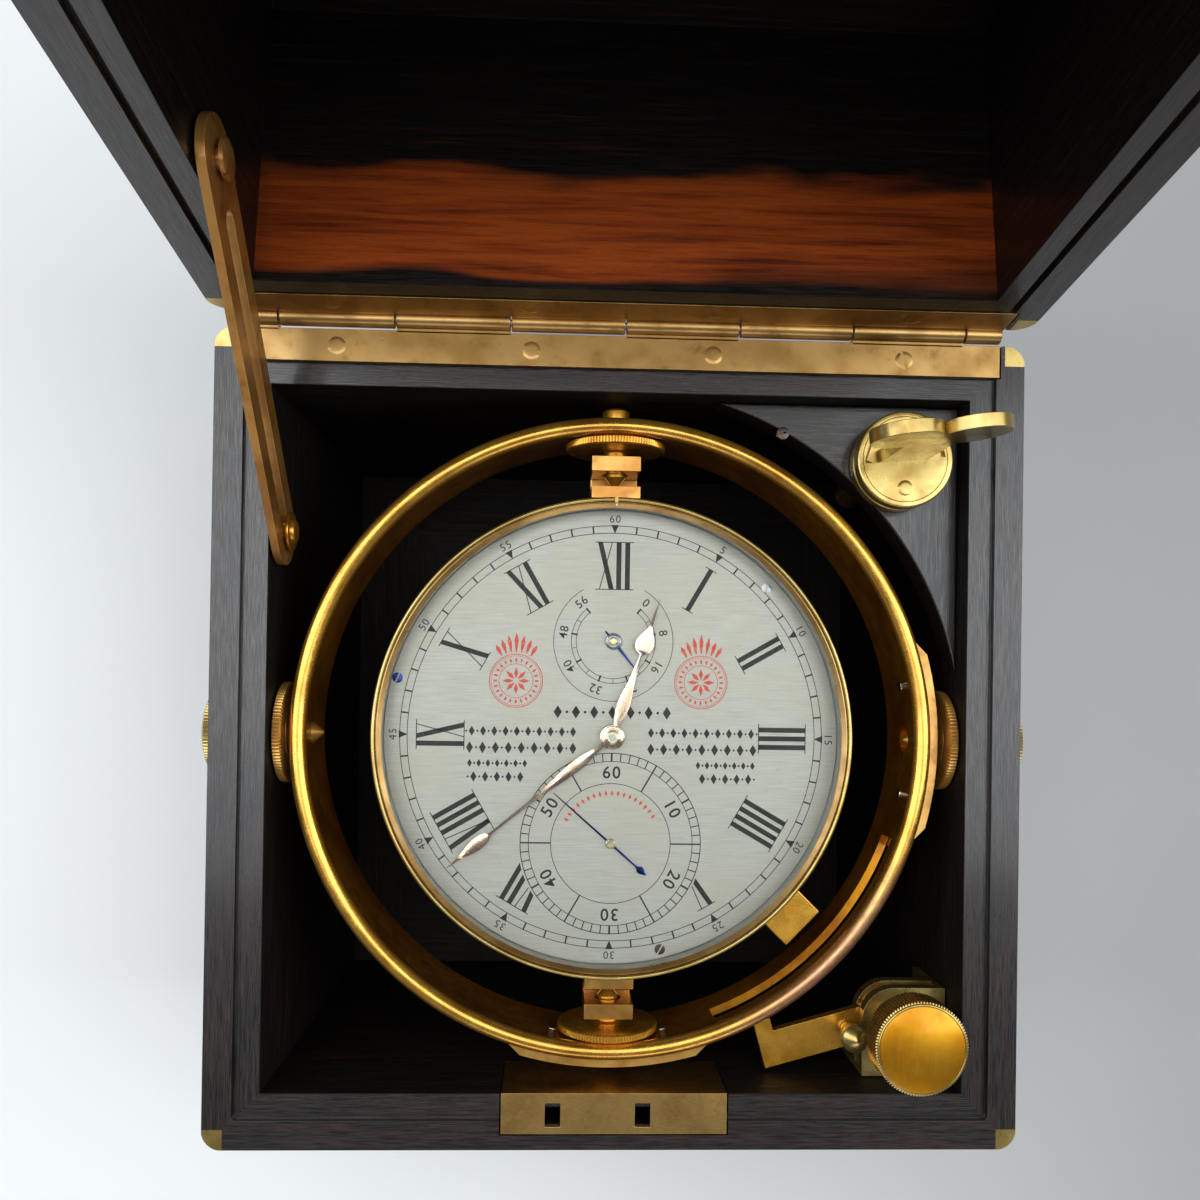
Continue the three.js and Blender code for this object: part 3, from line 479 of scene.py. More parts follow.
def ebony(name, lid=False, polished=False):
    """Polished ebony veneer: black-brown with rusty streaks outside, and matt black in the well.
    The lid's inner back board is coromandel with a broad red-brown band beside the hinge."""
    s = Shader(name, coat=0.35, coat_roughness=0.12, specular=0.5)
    place = s.place
    if lid:
        place = s.node("ShaderNodeVectorRotate",
                      {"Vector": place, "Center": HINGE * MM, "Angle": SLOPE},
                      rotation_type="X_AXIS").outputs["Vector"]
    x, y, z = s.split(place)
    wide = s.maths("ABSOLUTE", x)
    deep = s.maths("ABSOLUTE", y)
    side = s.maths("GREATER_THAN", wide, deep)
    grain = wood_grain(s, place, side)
    streaks = s.noise(1, grain, detail=5, roughness=0.65, distortion=0.5)
    pores = s.noise(0.22, grain, detail=2)
    outer = s.ramp(streaks, (0.28, "080707"), (0.46, "130e0d"),
                   (0.58, "2b1a15"), (0.66, "150f0d"), (0.80, "3a241c"))
    well = s.times(s.maths("LESS_THAN", wide, (INNER + 0.2) * MM),
                   s.maths("LESS_THAN", deep, (INNER + 0.2) * MM))
    inner = s.ramp(streaks, (0.35, "0d0b09"), (0.58, "18120f"), (0.72, "351b10"))
    if lid:
        inner = coromandel(s, place, inner)
    colour = s.mix(well, outer, inner)
    within = s.times(s.maths("GREATER_THAN", z, (FLOOR - 0.3) * MM),
                     s.maths("LESS_THAN", z, (RIM + LID_INNER_DEPTH + 0.6) * MM))
    well = s.times(well, within)
    matt, dull, bare = (0.04, 0.25, 0.18) if lid else (0.30, 0.34, 0.29)
    if polished:
        matt, dull, bare = 0.02, 0.02, 0.02
    rough = s.plus(s.fade(pores, 0.35, 0.65, 0.22, 0.46), s.times(well, matt))
    s.links.new(s.minus(0.5, s.times(well, dull)), s.shader.inputs["Specular IOR Level"])
    s.links.new(s.minus(0.30, s.times(well, bare)), s.shader.inputs["Coat Weight"])
    nicks = s.noise(1.4, detail=8, roughness=0.7)
    normal = s.bump(pores, 0.035, under=s.bump(nicks, 0.02))
    return s.use(colour, rough, normal)


def coromandel(s, place, plain):
    """The broad band of red-brown figure on the lid's inner back board."""
    x, y, z = s.split(place)
    depth = s.minus(z, HINGE.z * MM)
    waves = s.noise(46, s.stretched((1, 0.2, 2.2), source=place), detail=2, roughness=0.45)
    ragged = s.plus(depth, s.fade(waves, 0.2, 0.8, -0.0055, 0.0055))
    edge = s.noise(2.5, s.stretched((0.12, 1, 1), source=place), detail=4)
    ragged = s.plus(ragged, s.fade(edge, 0.3, 0.7, -0.0008, 0.0008))
    lower = s.plus(depth, s.fade(waves, 0.2, 0.8, -0.0018, 0.0022))
    band = s.times(s.fade(lower, 0.0020, 0.0045), s.fade(ragged, 0.0235, 0.0290, 1, 0))
    taper = s.fade(s.plus(s.times(x, -0.07), lower), 0.001, 0.005)
    board = s.maths("GREATER_THAN", y, (INNER - 0.4) * MM)
    band = s.times(s.times(band, board), s.fade(x, -0.079, -0.073, 0.75, 1))
    figure = s.noise(2.6, s.stretched((0.06, 1, 1.2), source=place), detail=6, roughness=0.65,
                     distortion=0.3)
    red = s.ramp(figure, (0.30, "4c1c0b"), (0.45, "80340f"),
                 (0.58, "984314"), (0.74, "6b2a0d"))
    band = s.times(band, s.plus(0.35, s.times(taper, 0.65)))
    rust = s.times(s.fade(figure, 0.60, 0.74, 0, 0.5),
                   s.fade(depth, 0.040, 0.050, 1, 0.3))
    streaked = s.mix(s.times(rust, board), plain, "40170b")
    return s.mix(band, streaked, red)


def silvered_dial():
    """Silvered brass with fine straight graining across the dial, and a little foxing."""
    s = Shader("silvered_dial", metallic=0.6, roughness=0.4)
    grain = s.noise(0.16, s.stretched((0.02, 1, 1)), detail=4)
    clouds = s.noise(22, detail=4)
    specks = s.noise(0.8, detail=2)
    body = s.mix(s.fade(grain, 0.3, 0.7), "b0aea7", "a3a098")
    warm = s.mix(s.fade(clouds, 0.35, 0.7, 0, 0.5), body, "aaa599")
    colour = s.mix(s.fade(specks, 0.70, 0.78, 0, 0.5), warm, "8d887c")
    return s.use(colour, s.fade(grain, 0.3, 0.7, 0.46, 0.58), s.bump(grain, 0.004))


def ink(name, colour, faded):
    """Wax or paint filled into the engraving, thinner in places."""
    s = Shader(name, roughness=0.55)
    wear = s.noise(0.9, detail=4)
    return s.use(s.mix(s.fade(wear, 0.52, 0.78, 0, 0.7), colour, faded),
                 normal=s.bump(wear, 0.01))


def glass():
    """Flat glass, clear enough to read the dial, with faint dust."""
    s = Shader("crystal", roughness=0.02)
    dust = s.noise(0.5, detail=5)
    s.shader.inputs["Transmission Weight"].default_value = 1.0
    s.shader.inputs["IOR"].default_value = 1.02
    s.shader.inputs["Specular IOR Level"].default_value = 0.5
    return s.use(linear("fbfdfb"), s.fade(dust, 0.6, 0.9, 0.0, 0.05))


def painted_floor():
    # A pale floor with painted shade, darker towards the right.
    s = Shader("floor", roughness=0.9)
    x = s.split()[0]
    mottled = s.noise(60, detail=3)
    # Painted shade: the floor goes from near white on the left to mid grey on the right.
    painted_shade_falloff = s.mix(s.fade(x, -0.22, 0.30), "f4f4f4", "9d9d9d")
    return s.use(s.mix(s.fade(mottled, 0.3, 0.7, 0, 0.03), painted_shade_falloff, "e0e0e0"))


BOX_WOOD = ebony("ebony_box")
LID_WOOD = ebony("ebony_lid", lid=True)
BRASS = metal("brass", "c3ab68", "aa8d4c", "6b5124", roughness=0.28, grime=0.3, metallic=0.9)
HINGE_BRASS = metal("brass_hinge", "b48f57", "9a7540", "5e4220", roughness=0.33,
                    brushed=(0.03, 1, 1), grime=0.5)
PLATE_BRASS = metal("brass_plate", "bb9658", "a58049", "6b4a24", roughness=0.34,
                    brushed=(0.12, 1, 1), grime=0.3)
STAY_BRASS = metal("brass_stay", "b88443", "99662f", "543417", roughness=0.36,
                   brushed=(1, 0.2, 0.05), grime=0.4, metallic=0.6)
GILT = metal("gilt", "e0a63c", "c28524", "6e430f", roughness=0.27, grime=0.3, metallic=0.85)
PLATE_GILT = metal("gilt_plate", "d0a052", "b07f38", "6a4418", roughness=0.34, grime=0.4, metallic=0.75)
# Darker brass carrying a painted reflection, for the bezel's inner bevel.
BEVEL_REFLECTION_BRASS = metal("brass_painted_reflection", "b08a50", "96703a", "5c4020", roughness=0.3, grime=0.3, metallic=0.8)
THUMB_FACE = metal("gilt_face", "cf9220", "b8790f", "7a4c08", roughness=0.36,
                   brushed=(1, 0.05, 1), grime=0.25)
COPPERY = metal("gilt_trunnion", "c8964f", "ab7738", "6b4420", roughness=0.3, grime=0.3)
RING_METAL = ring_metal()
STEEL = metal("steel", "a8aaac", "8b8d90", "4d4a47", roughness=0.28, grime=0.4)
BLUED = metal("blued_steel", "2b3f86", "1f2c63", "10152e", roughness=0.22, grime=0.2)
ROSE_GOLD = metal("rose_gold", "dcc5b2", "c2a18b", "8a6450", roughness=0.22, grime=0.2)
PALE_BRASS = metal("brass_pale", "cfc5a4", "b5a886", "7d6f50", roughness=0.26, grime=0.2)
SCREW_BROWN = metal("screw_brown", "5d5148", "453a31", "201a15", roughness=0.35, grime=0.4)
DIAL = silvered_dial()
BLACK_INK = ink("ink_black", "121110", "2b2824")
RED_INK = ink("ink_red", "c2452f", "cf8370")
GLASS = glass()


# ---- wooden box and lid ----
def on_lid(form):
    """Swings a form that is placed on the shut lid round to where the open lid is."""
    return form.at(-HINGE).turned(-LID_OPEN, "X").at(HINGE)


CORNER = 4.5


def corner_strap(sx, sy, rim, leg):
    """Brass let into a corner: a quarter disc on the rim, and a short leg round the vertical edge."""
    start = {(1, 1): 0, (-1, 1): 90, (-1, -1): 180, (1, -1): 270}[(sx, sy)]
    up = math.copysign(1, leg)
    top = sorted((rim - up * 1.2, rim + up * 0.03))
    cap = prism(arc(CORNER - 0.02, start, start + 90, 12) + [(0, 0)], *top)
    wrap = sector(CORNER - 1, CORNER + 0.04, start + 10, start + 80, *sorted((rim - leg, rim)), 12)
    return (cap + wrap).at(sx * (HALF - CORNER), sy * (HALF - CORNER), 0)


def build_wood():
    finish_node("box_carcass", BOX_WOOD, 0.3)
    finish_node("lid_shell", LID_WOOD, 0.3)
    finish_node("key_shelf", SHELF_WOOD, 0.5)
    for sx, side in ((-1, "left"), (1, "right")):
        for sy, end in ((-1, "front"), (1, "rear")):
            box_strap = corner_strap(sx, sy, RIM, 9)
            make(f"box_corner_{end}_{side}", box_strap, BRASS, "box")
            lid_strap = on_lid(corner_strap(sx, sy, RIM + 0.3, -9))
            make(f"lid_corner_{end}_{side}", lid_strap, BRASS, "lid")


def add_screw(name, point, body, material, radius=1.9, turn=0.0, direction=(0, 0, 1), dome=0.2):
    """A slotted screw head set in a face at a point."""
    head = lathe([(0, -0.8), (radius, -0.8), (radius, -0.04), (radius * 0.92, dome * 0.5),
                  (radius * 0.55, dome), (0, dome)], 40)
    place = Vector(direction)
    piece = make(name, head.turned(turn), material, body)
    half = radius * 0.13
    carve(piece, slab(-radius * 1.1, radius * 1.1, -half, half, -0.6, 1).turned(turn))
    piece.data.transform(Matrix.Scale(1 / MM, 4))
    spin = Vector((0, 0, 1)).rotation_difference(place).to_matrix().to_4x4()
    piece.data.transform(spin)
    piece.data.transform(Matrix.Translation(point))
    piece.data.transform(Matrix.Scale(MM, 4))


# ---- hinge ----
KNUCKLE_JOINTS = (-75.9, -50.6, -25.3, 0, 25.3, 50.6, 75.9)
LEAF_THICKNESS = 1.5
LEAF_GAP = 0.3
HINGE_SCREWS = ((-63.5, 8, 20), (-20.8, -24, 65), (19.6, 12, -35), (62.5, -70, 80))


def leaf_form(z0, z1, first):
    """One leaf of the long hinge with its knuckles, on the shut box."""
    low, high = mm_box("box_hinge_leaf")
    half = high.x
    radius = high.z - HINGE.z
    ends = [-half, *KNUCKLE_JOINTS, half]
    form = slab(-half, half, low.y, HALF, z0, z1)
    for index in range(first, len(ends) - 1, 2):
        x0 = ends[index] + 0.15
        x1 = ends[index + 1] - 0.15
        rows = [(0, x0), (radius - 0.15, x0), (radius, x0 + 0.15), (radius, x1 - 0.15),
                (radius - 0.15, x1), (0, x1)]
        form += lathe(rows, 32).aimed((1, 0, 0)).at(0, HINGE.y, HINGE.z)
        form += slab(x0, x1, HALF - 0.5, HINGE.y, z0, z1)
    return form


def build_hinge():
    box_leaf = leaf_form(RIM - LEAF_THICKNESS, RIM, 0)
    make("box_leaf_fine", box_leaf, HINGE_BRASS, "box", ["box_hinge_leaf"], 0.12)
    lid_leaf = on_lid(leaf_form(RIM + LEAF_GAP, RIM + LEAF_GAP + LEAF_THICKNESS, 1))
    make("lid_leaf_fine", lid_leaf, HINGE_BRASS, "lid", ["lid_hinge_leaf"], 0.12)
    finish_node("hinge_pin", STEEL)
    leaf_middle = HALF - 3.7
    for index, (x, turn, _) in enumerate(HINGE_SCREWS):
        add_screw(f"box_hinge_screw_{index + 1}", (x, leaf_middle, RIM), "box", HINGE_BRASS, 2.1, turn,
                  dome=0.06)
    swing = Matrix.Rotation(-SLOPE, 4, "X")
    for index, (x, _, turn) in enumerate(HINGE_SCREWS):
        point = HINGE + swing @ (Vector((x, leaf_middle, RIM + LEAF_GAP)) - HINGE)
        add_screw(f"lid_hinge_screw_{index + 1}", point, "lid", HINGE_BRASS, 2.1, turn,
                  swing @ Vector((0, 0, -1)), 0.06)


# ---- lock and escutcheon ----
def build_lock():
    finish_node("lock_plate", PLATE_BRASS, 0.12)
    finish_node("lid_strike", PLATE_BRASS, 0.12)
    finish_node("keyhole_escutcheon", BRASS, 0.2)
    finish_node("lock_bolt", STEEL, 0.1)


# ---- lid stay ----
def build_stay():
    finish_node("lid_stay", STAY_BRASS, 0.22)
    for node, body, name in (("stay_stud", "box", "stay_stud_domed"),
                             ("stay_pivot_screw", "lid", "stay_screw_head")):
        low, high = mm_box(node)
        y, z = (low.y + high.y) / 2, (low.z + high.z) / 2
        radius = (high.z - low.z) / 2
        shank = rod(2, 0, 2.8)
        if node == "stay_stud":
            tall = high.x - low.x
            dome = radius * 0.62
            rows = [(0, 2.8), (radius - 0.2, 2.8)] + fillet(radius, 3.5, 0.3) + [(dome, 3.6)] + \
                fillet(dome, tall, 0.7) + [(radius * 0.2, tall + 0.05), (0, tall + 0.05)]
            form = shank + lathe(rows, 48)
            make(name, form.aimed((1, 0, 0)).at(low.x, y, z), GILT, body, [node])
        else:
            make("stay_screw_shank", shank.aimed((1, 0, 0)).at(low.x, y, z), STAY_BRASS, body,
                 [node])
            add_screw(name, (high.x - 0.5, y, z), body, STAY_BRASS, radius, 70, (1, 0, 0))


# ---- gimbals ----
def knurled_disc(radius, z0, z1, teeth=84):
    """A thumb disc: knurled rim and plain faces."""
    return serrated(radius, 0.28, teeth, z0, z1, 0.3)


def box_pivot(wall):
    """Pivot screw through a side wall, along +Z from the gimbal axis."""
    inner = wall - 9.6
    spindle = lathe([(0, inner), (0.4, inner), (2.4, inner + 2.4), (2.4, wall - 5.2), (2.9, wall - 4.9),
                     (2.9, wall - 4.2), (2.5, wall - 4), (2.5, wall - 3.6), (4.6, wall - 2.9),
                     (7.2, wall - 2.55), (7.2, wall - 1), (2.4, wall - 1), (2.4, wall + 12.2),
                     (0, wall + 12.2)], 64)
    return spindle + knurled_disc(11.6, wall - 2.5, wall - 0.3)


def bowl_pivot(ring_inner, plate_outer):
    """Pivot screw through the ring, along +Z, with turned collars and a round boss outside."""
    inner = ring_inner - 1.1
    spindle = lathe([(0, 57.8), (0.3, 57.8), (2.4, 60.4), (2.4, inner - 3.7), (3.1, inner - 3.5),
                     (3.1, inner - 2.9), (2.7, inner - 2.8), (2.7, inner - 2.3), (3.9, inner - 2),
                     (4.4, inner - 1.6), (8.6, inner - 1.35), (8.6, inner - 0.6), (2.4, inner - 0.6),
                     (2.4, ring_inner + 3), (3.2, ring_inner + 3), (3.2, plate_outer + 0.7),
                     (2.7, plate_outer + 1.2), (0, plate_outer + 1.2)], 64)
    return spindle + knurled_disc(11.6, inner - 2.0, inner - 0.1, 100)


def ring_profile(inner, outer, bottom, top):
    """Section of the ring: a thin band with a rolled bead along its upper edge."""
    bead = 1.9
    centre = (outer - 0.6, top - bead)
    rows = [(inner, bottom + 0.3), (inner + 0.3, bottom), (outer - 0.3, bottom), (outer, bottom + 0.3),
            (outer, top - bead - 1.5)]
    for step in range(17):
        angle = math.radians(-50 + step * 245 / 16)
        rows.append((centre[0] + bead * math.cos(angle), centre[1] + bead * math.sin(angle)))
    rows += [(inner, top - bead - 1.7), (inner, bottom + 0.3)]
    return rows


LOCK_HEADING = -44.3
RING_INNER = 69.4
RING_OUTER = 71.2


def build_ring():
    low, high = mm_box("gimbal_ring")
    bottom, top = low.z - GIMBAL.z, high.z - GIMBAL.z
    band = lathe(ring_profile(RING_INNER, RING_OUTER, bottom, top), 224).at(GIMBAL)
    ring = make("gimbal_ring_fine", band, RING_METAL, "ring", ["gimbal_ring"])
    slot = sector(60, 80, LOCK_HEADING - 25, LOCK_HEADING + 25, -3.5, 3.5, 48).at(GIMBAL)
    across = rod(3, -80, 80)
    carve(ring, slot, across.aimed((1, 0, 0)).at(GIMBAL), across.aimed((0, 1, 0)).at(GIMBAL))
    finish_node("right_ring_plate", PLATE_GILT, 0.3)
    finish_node("front_ring_plate", PLATE_GILT, 0.3)
    plate_outer = mm_box("right_ring_plate")[1].x - GIMBAL.x
    for side, heading in (("rear", 90), ("front", -90)):
        form = bowl_pivot(RING_INNER, plate_outer).aimed((0, 1, 0)).turned(heading - 90).at(GIMBAL)
        make(f"{side}_bowl_pivot_fine", form, GILT, "ring", [f"{side}_bowl_pivot"])
    for plate, heading in (("right", 0), ("front", -90)):
        for index, step in enumerate((-12.5, 12.5)):
            for level in (-6, 4):
                angle = math.radians(heading + step)
                x, y = math.cos(angle), math.sin(angle)
                point = GIMBAL + Vector((plate_outer * x, plate_outer * y, level))
                add_screw(f"{plate}_plate_screw_{index + 1}_{'low' if level < 0 else 'high'}", point,
                          "ring", BRASS, 1.4, 30, (x, y, 0))
            angle = math.radians(heading + step * 0.84)
            outward = Vector((math.cos(angle), math.sin(angle), 0))
            add_screw(f"{plate}_ring_screw_{index + 1}", GIMBAL + outward * RING_INNER, "ring",
                      PALE_BRASS, 1.3, 20, -outward, dome=0.3)


def build_box_pivots():
    for side, sign in (("left", -1), ("right", 1)):
        form = box_pivot(INNER).aimed((sign, 0, 0)).at(0, GIMBAL.y, GIMBAL.z)
        make(f"{side}_box_pivot_fine", form, PLATE_GILT, "box", [f"{side}_box_pivot"])
        nut = serrated(9.3, 0.25, 72, 0, 2.7, 0.3) + lathe([(0, 2.6), (8.2, 2.6), (7.8, 3.1), (0, 3.1)], 64)
        make(f"{side}_outer_nut_fine", nut.at(0, 0, HALF + 0.3).aimed((sign, 0, 0))
             .at(0, GIMBAL.y, GIMBAL.z), BRASS, "box", [f"{side}_outer_nut"])


# ---- bowl, bezel and glass ----
def build_bowl():
    low, high = mm_box("bowl_shell")
    outer = (high.x - low.x) / 2
    bottom, top = low.z - GIMBAL.z, high.z - GIMBAL.z
    wall = 1.8
    rows = [(0, bottom), (34, bottom)]
    for step in range(9):
        angle = math.radians(-90 + step * 90 / 8)
        rows.append((outer - 16 + 16 * math.cos(angle), bottom + 15 + 15 * math.sin(angle)))
    rows += [(outer, top), (outer - wall, top), (outer - wall, bottom + 15)]
    for step in range(9):
        angle = math.radians(-step * 90 / 8)
        rows.append((outer - 16 + 14.2 * math.cos(angle), bottom + 15 + 13 * math.sin(angle)))
    rows.append((0, bottom + 2))
    bowl = make("bowl_fine", lathe(rows, 128).at(GIMBAL), GILT, "bowl", ["bowl_shell"])
    fusee = joint_axis("fusee_wind")
    hole = rod(5, -70, -50, 40)
    carve(bowl, hole.over(fusee, GIMBAL.z))
    rim = [(54.4, -3), (54.4, 9.3)]
    rim += [(53.85 + 0.55 * math.cos(math.radians(a)), 9.6 + 0.8 * math.sin(math.radians(a)))
            for a in range(0, 181, 15)]
    rim += [(53.3, 9.3), (53.1, 9.3), (53.1, 8.9), (52.8, 8.9), (52.8, -3), (54.4, -3)]
    bezel = make("bezel_fine", lathe(rim, 224).at(GIMBAL), BRASS, "bowl", ["bezel"])
    carve(bezel, slab(-0.35, 0.35, 53, 56, 9.2, 12).at(GIMBAL))
    # The inner bevel is brass in a darker tone: painted reflection on the bevel.
    bevel = [(52.05, 9.1), (53.15, 9.1), (53.15, 9.95), (52.95, 10.0), (52.05, 9.35), (52.05, 9.1)]
    make("bezel_bevel", lathe(bevel, 224).at(GIMBAL), BEVEL_REFLECTION_BRASS, "bowl")
    flange = [(52.4, 3.1), (52.75, 3.1), (52.75, 7.3), (52.5, 7.3), (52.4, 7.1), (52.4, 3.1)]
    make("sight_ring", lathe(flange, 224).at(GIMBAL), DIAL, "bowl")
    make("bezel_pip", collet(0.4, 9.7, 10.25).at(GIMBAL.x, GIMBAL.y + 52.6, GIMBAL.z), STEEL, "bowl")
    finish_node("crystal", GLASS)
    for node in ("rear_trunnion", "front_trunnion"):
        finish_node(node, COPPERY, 0.3)
    finish_node("bowl_catch", GILT, 0.25)
    finish_node("dust_shutter", GILT, 0.2)
    for node in ("pillar_plate", "back_plate", "spring_barrel", "fusee", "great_wheel", "centre_wheel",
                 "third_wheel", "fourth_wheel", "escape_wheel", "balance_wheel", "balance_cock",
                 "up_down_wheel"):
        finish_node(node, GILT)
    for node in ("fusee_chain", "detent"):
        finish_node(node, STEEL)
    finish_node("balance_spring", BLUED)


# ---- dial ----
PRINT_LOW = DIAL_Z - 0.02
PRINT_HIGH = DIAL_Z + 0.035


def clock(degrees):
    """A clock angle as degrees anticlockwise from +X."""
    return 90 - degrees


def mark(outline, centre, heading=0.0):
    """A flat printed shape whose outline is drawn upright and turned to a clock angle about a centre."""
    form = prism(outline, PRINT_LOW, PRINT_HIGH).turned(-heading)
    return form.over(centre)


def bar(centre, heading, inner, outer, width):
    half = width / 2
    return mark([(-half, inner), (half, inner), (half, outer), (-half, outer)], centre, heading)


def circle(centre, radius, width=0.16, start=None, end=None):
    """A printed circle, or the arc between two clock angles."""
    low, high = radius - width / 2, radius + width / 2
    if start is None:
        rows = [(low, PRINT_LOW), (high, PRINT_LOW), (high, PRINT_HIGH), (low, PRINT_HIGH),
                (low, PRINT_LOW)]
        return lathe(rows, 180).over(centre)
    band = sector(low, high, clock(end), clock(start), PRINT_LOW, PRINT_HIGH, 96)
    return band.over(centre)


def number(text, centre, heading, radius, height, spacing=1.0, weight=0.0):
    """Numerals set at a radius, their feet towards the centre."""
    curve = bpy.data.curves.new("number", "FONT")
    curve.body = text
    curve.align_x = "CENTER"
    curve.space_character = spacing
    curve.resolution_u = 3
    curve.extrude = 0.5
    curve.offset = weight
    holder = add_object("number", curve)
    graph = bpy.context.evaluated_depsgraph_get()
    mesh = bpy.data.meshes.new_from_object(holder.evaluated_get(graph))
    tall = max(v.co.y for v in mesh.vertices) - min(v.co.y for v in mesh.vertices)
    foot = min(v.co.y for v in mesh.vertices)
    scale = height / tall
    points = [(v.co.x * scale, (v.co.y - foot) * scale - height / 2 + radius,
               PRINT_HIGH if v.co.z > 0 else PRINT_LOW) for v in mesh.vertices]
    form = Form(points, [tuple(p.vertices) for p in mesh.polygons])
    bpy.data.objects.remove(holder)
    bpy.data.curves.remove(curve)
    bpy.data.meshes.remove(mesh)
    return form.turned(-heading).over(centre)


THICK = 1.15
THIN = 0.22
SERIF = 0.2
BAR_PITCH = 2.0
GLYPH_WIDTH = {"I": BAR_PITCH, "V": 3.7, "X": 4.0}


def roman_strokes(word):
    """Strokes of a Roman numeral as (outer middle, inner middle, width), and its overall width."""
    width = sum(GLYPH_WIDTH[c] for c in word)
    left = -width / 2
    strokes = []
    for letter in word:
        right = left + GLYPH_WIDTH[letter]
        middle = (left + right) / 2
        edge = THICK / 2
        if letter == "I":
            strokes.append((middle, middle, THICK))
        elif letter == "V":
            strokes.append((left + edge + 0.2, middle + 0.1, THICK))
            strokes.append((right - edge, middle + 0.2, THIN))
        else:
            strokes.append((left + edge + 0.1, right - edge - 0.1, THICK))
            strokes.append((right - edge, left + edge, THIN))
        left = right
    return strokes, width


def clipped(outer_point, inner_point, middle, radius):
    """Where the line from the outer to the inner point meets a circle, or the inner point."""
    a, b = Vector(outer_point), Vector(inner_point)
    d, f = b - a, a - Vector(middle)
    qa, qb, qc = d.dot(d), 2 * f.dot(d), f.dot(f) - radius * radius
    root = qb * qb - 4 * qa * qc
    if root <= 0:
        return tuple(b)
    t = (-qb - math.sqrt(root)) / (2 * qa)
    return tuple(a + d * t) if 0 < t < 1 else tuple(b)


def roman(word, heading, centre, inner, outer, cut_radius=None):
    """A Roman numeral with hairline serifs, cut short where the seconds dial crosses it."""
    strokes, width = roman_strokes(word)
    turn = Matrix.Rotation(math.radians(heading), 2)
    hub = turn @ Vector((SECONDS.x - centre.x, SECONDS.y - centre.y))
    form = Form([], [])
    for top, foot, thick in strokes:
        half = thick / 2
        corners = [(top - half, outer), (foot - half, inner), (foot + half, inner), (top + half, outer)]
        if cut_radius:
            corners[1] = clipped(corners[0], corners[1], hub, cut_radius)
            corners[2] = clipped(corners[3], corners[2], hub, cut_radius)
        form += mark(corners, centre, heading)
    overhang = width / 2 + 0.45
    for edge in (outer,) if cut_radius else (outer, inner):
        form += bar(centre, heading, edge - SERIF / 2, edge + SERIF / 2, 2 * overhang)
    return form


HOURS = ("XII", "I", "II", "III", "IIII", "V", None, "VII", "VIII", "IX", "X", "XI")
MINUTE_OUTER = 48.7
MINUTE_INNER = 47.0
NUMERAL_OUTER = 44.9
NUMERAL_INNER = 34.0
SECONDS_OUTER = 20.8
SECONDS_RING = 18.9
SECONDS_INNER = 13.8


def minute_track(centre):
    form = circle(centre, MINUTE_OUTER) + circle(centre, MINUTE_INNER)
    for minute in range(60):
        if minute % 5:
            form += bar(centre, minute * 6, MINUTE_INNER, MINUTE_OUTER, 0.36)
        else:
            form += mark([(-0.85, 48.9), (0.85, 48.9), (0, 46.9)], centre, minute * 6)
            form += number(str(minute or 60), centre, minute * 6, 50.3, 1.75, 1.15)
    return form


def hour_numerals(centre):
    form = Form([], [])
    for hour, word in enumerate(HOURS):
        if word:
            cut_radius = SECONDS_OUTER + 0.5 if hour in (5, 7) else None
            form += roman(word, hour * 30, centre, NUMERAL_INNER, NUMERAL_OUTER, cut_radius)
    return form


def seconds_track(centre):
    form = circle(centre, SECONDS_OUTER, 0.2) + circle(centre, SECONDS_RING) + circle(centre, SECONDS_INNER)
    for second in range(60):
        if second % 10 == 5:
            form += bar(centre, second * 6, SECONDS_INNER, SECONDS_OUTER, 0.34)
        elif second % 5 == 0:
            form += bar(centre, second * 6, SECONDS_RING, SECONDS_OUTER, 0.42)
            form += number(str(second or 60), centre, second * 6, 16.4, 2.9, 1.15, 0.012)
        else:
            form += bar(centre, second * 6, SECONDS_RING, SECONDS_OUTER, 0.24)
    return form


RESERVE_START = 39.5
RESERVE_SPAN = 280.5
RESERVE_HOURS = 56
RESERVE_OUTER = 9.7
RESERVE_INNER = 8.6


def reserve_track(centre):
    """Up-and-down scale: hours since winding, from 0 round to 56."""
    end = RESERVE_START + RESERVE_SPAN
    form = circle(centre, 13.8, 0.14, RESERVE_START - 9, end + 9)
    for radius in (RESERVE_OUTER, RESERVE_INNER):
        form += circle(centre, radius, 0.14, RESERVE_START, end)
    for hours in range(0, RESERVE_HOURS + 1, 4):
        heading = RESERVE_START + RESERVE_SPAN * hours / RESERVE_HOURS
        if hours % 8 == 0:
            form += bar(centre, heading, RESERVE_INNER - 0.2, RESERVE_OUTER + 0.2, 0.4)
            form += number(str(hours), centre, heading, 11.7, 2.0, 1.1, 0.006)
        else:
            form += bar(centre, heading, RESERVE_INNER, RESERVE_OUTER, 0.14)
    return form


def lozenge(x, y, long, high):
    return [(x - long, y), (x, y - high), (x + long, y), (x, y + high)]


ORNAMENT_ROWS = ((1.0, 1.15), (-2.8, 1.35), (-6.4, 0.9), (-9.5, 1.2))
ORNAMENT_END = 33.6


def scrollwork(centre):
    """Plain engraver's ornament: rows of tall and small lozenges beside and above the centre."""
    form = Form([], [])
    for step in range(-6, 7):
        tall = step % 2 == 0
        form += mark(lozenge(step * 2.1, 5.6, 0.95 if tall else 0.4, 1.5 if tall else 0.4), centre)
    for side in (-1, 1):
        for row, (y, tall) in enumerate(ORNAMENT_ROWS):
            x = 9 if row < 2 else 18 + row
            large = True
            while x < ORNAMENT_END:
                size = (tall * 0.6, tall) if large else (0.28, 0.32)
                form += mark(lozenge(side * x, y, *size), centre)
                x += tall * 0.95 + 0.2
                large = not large
    return form


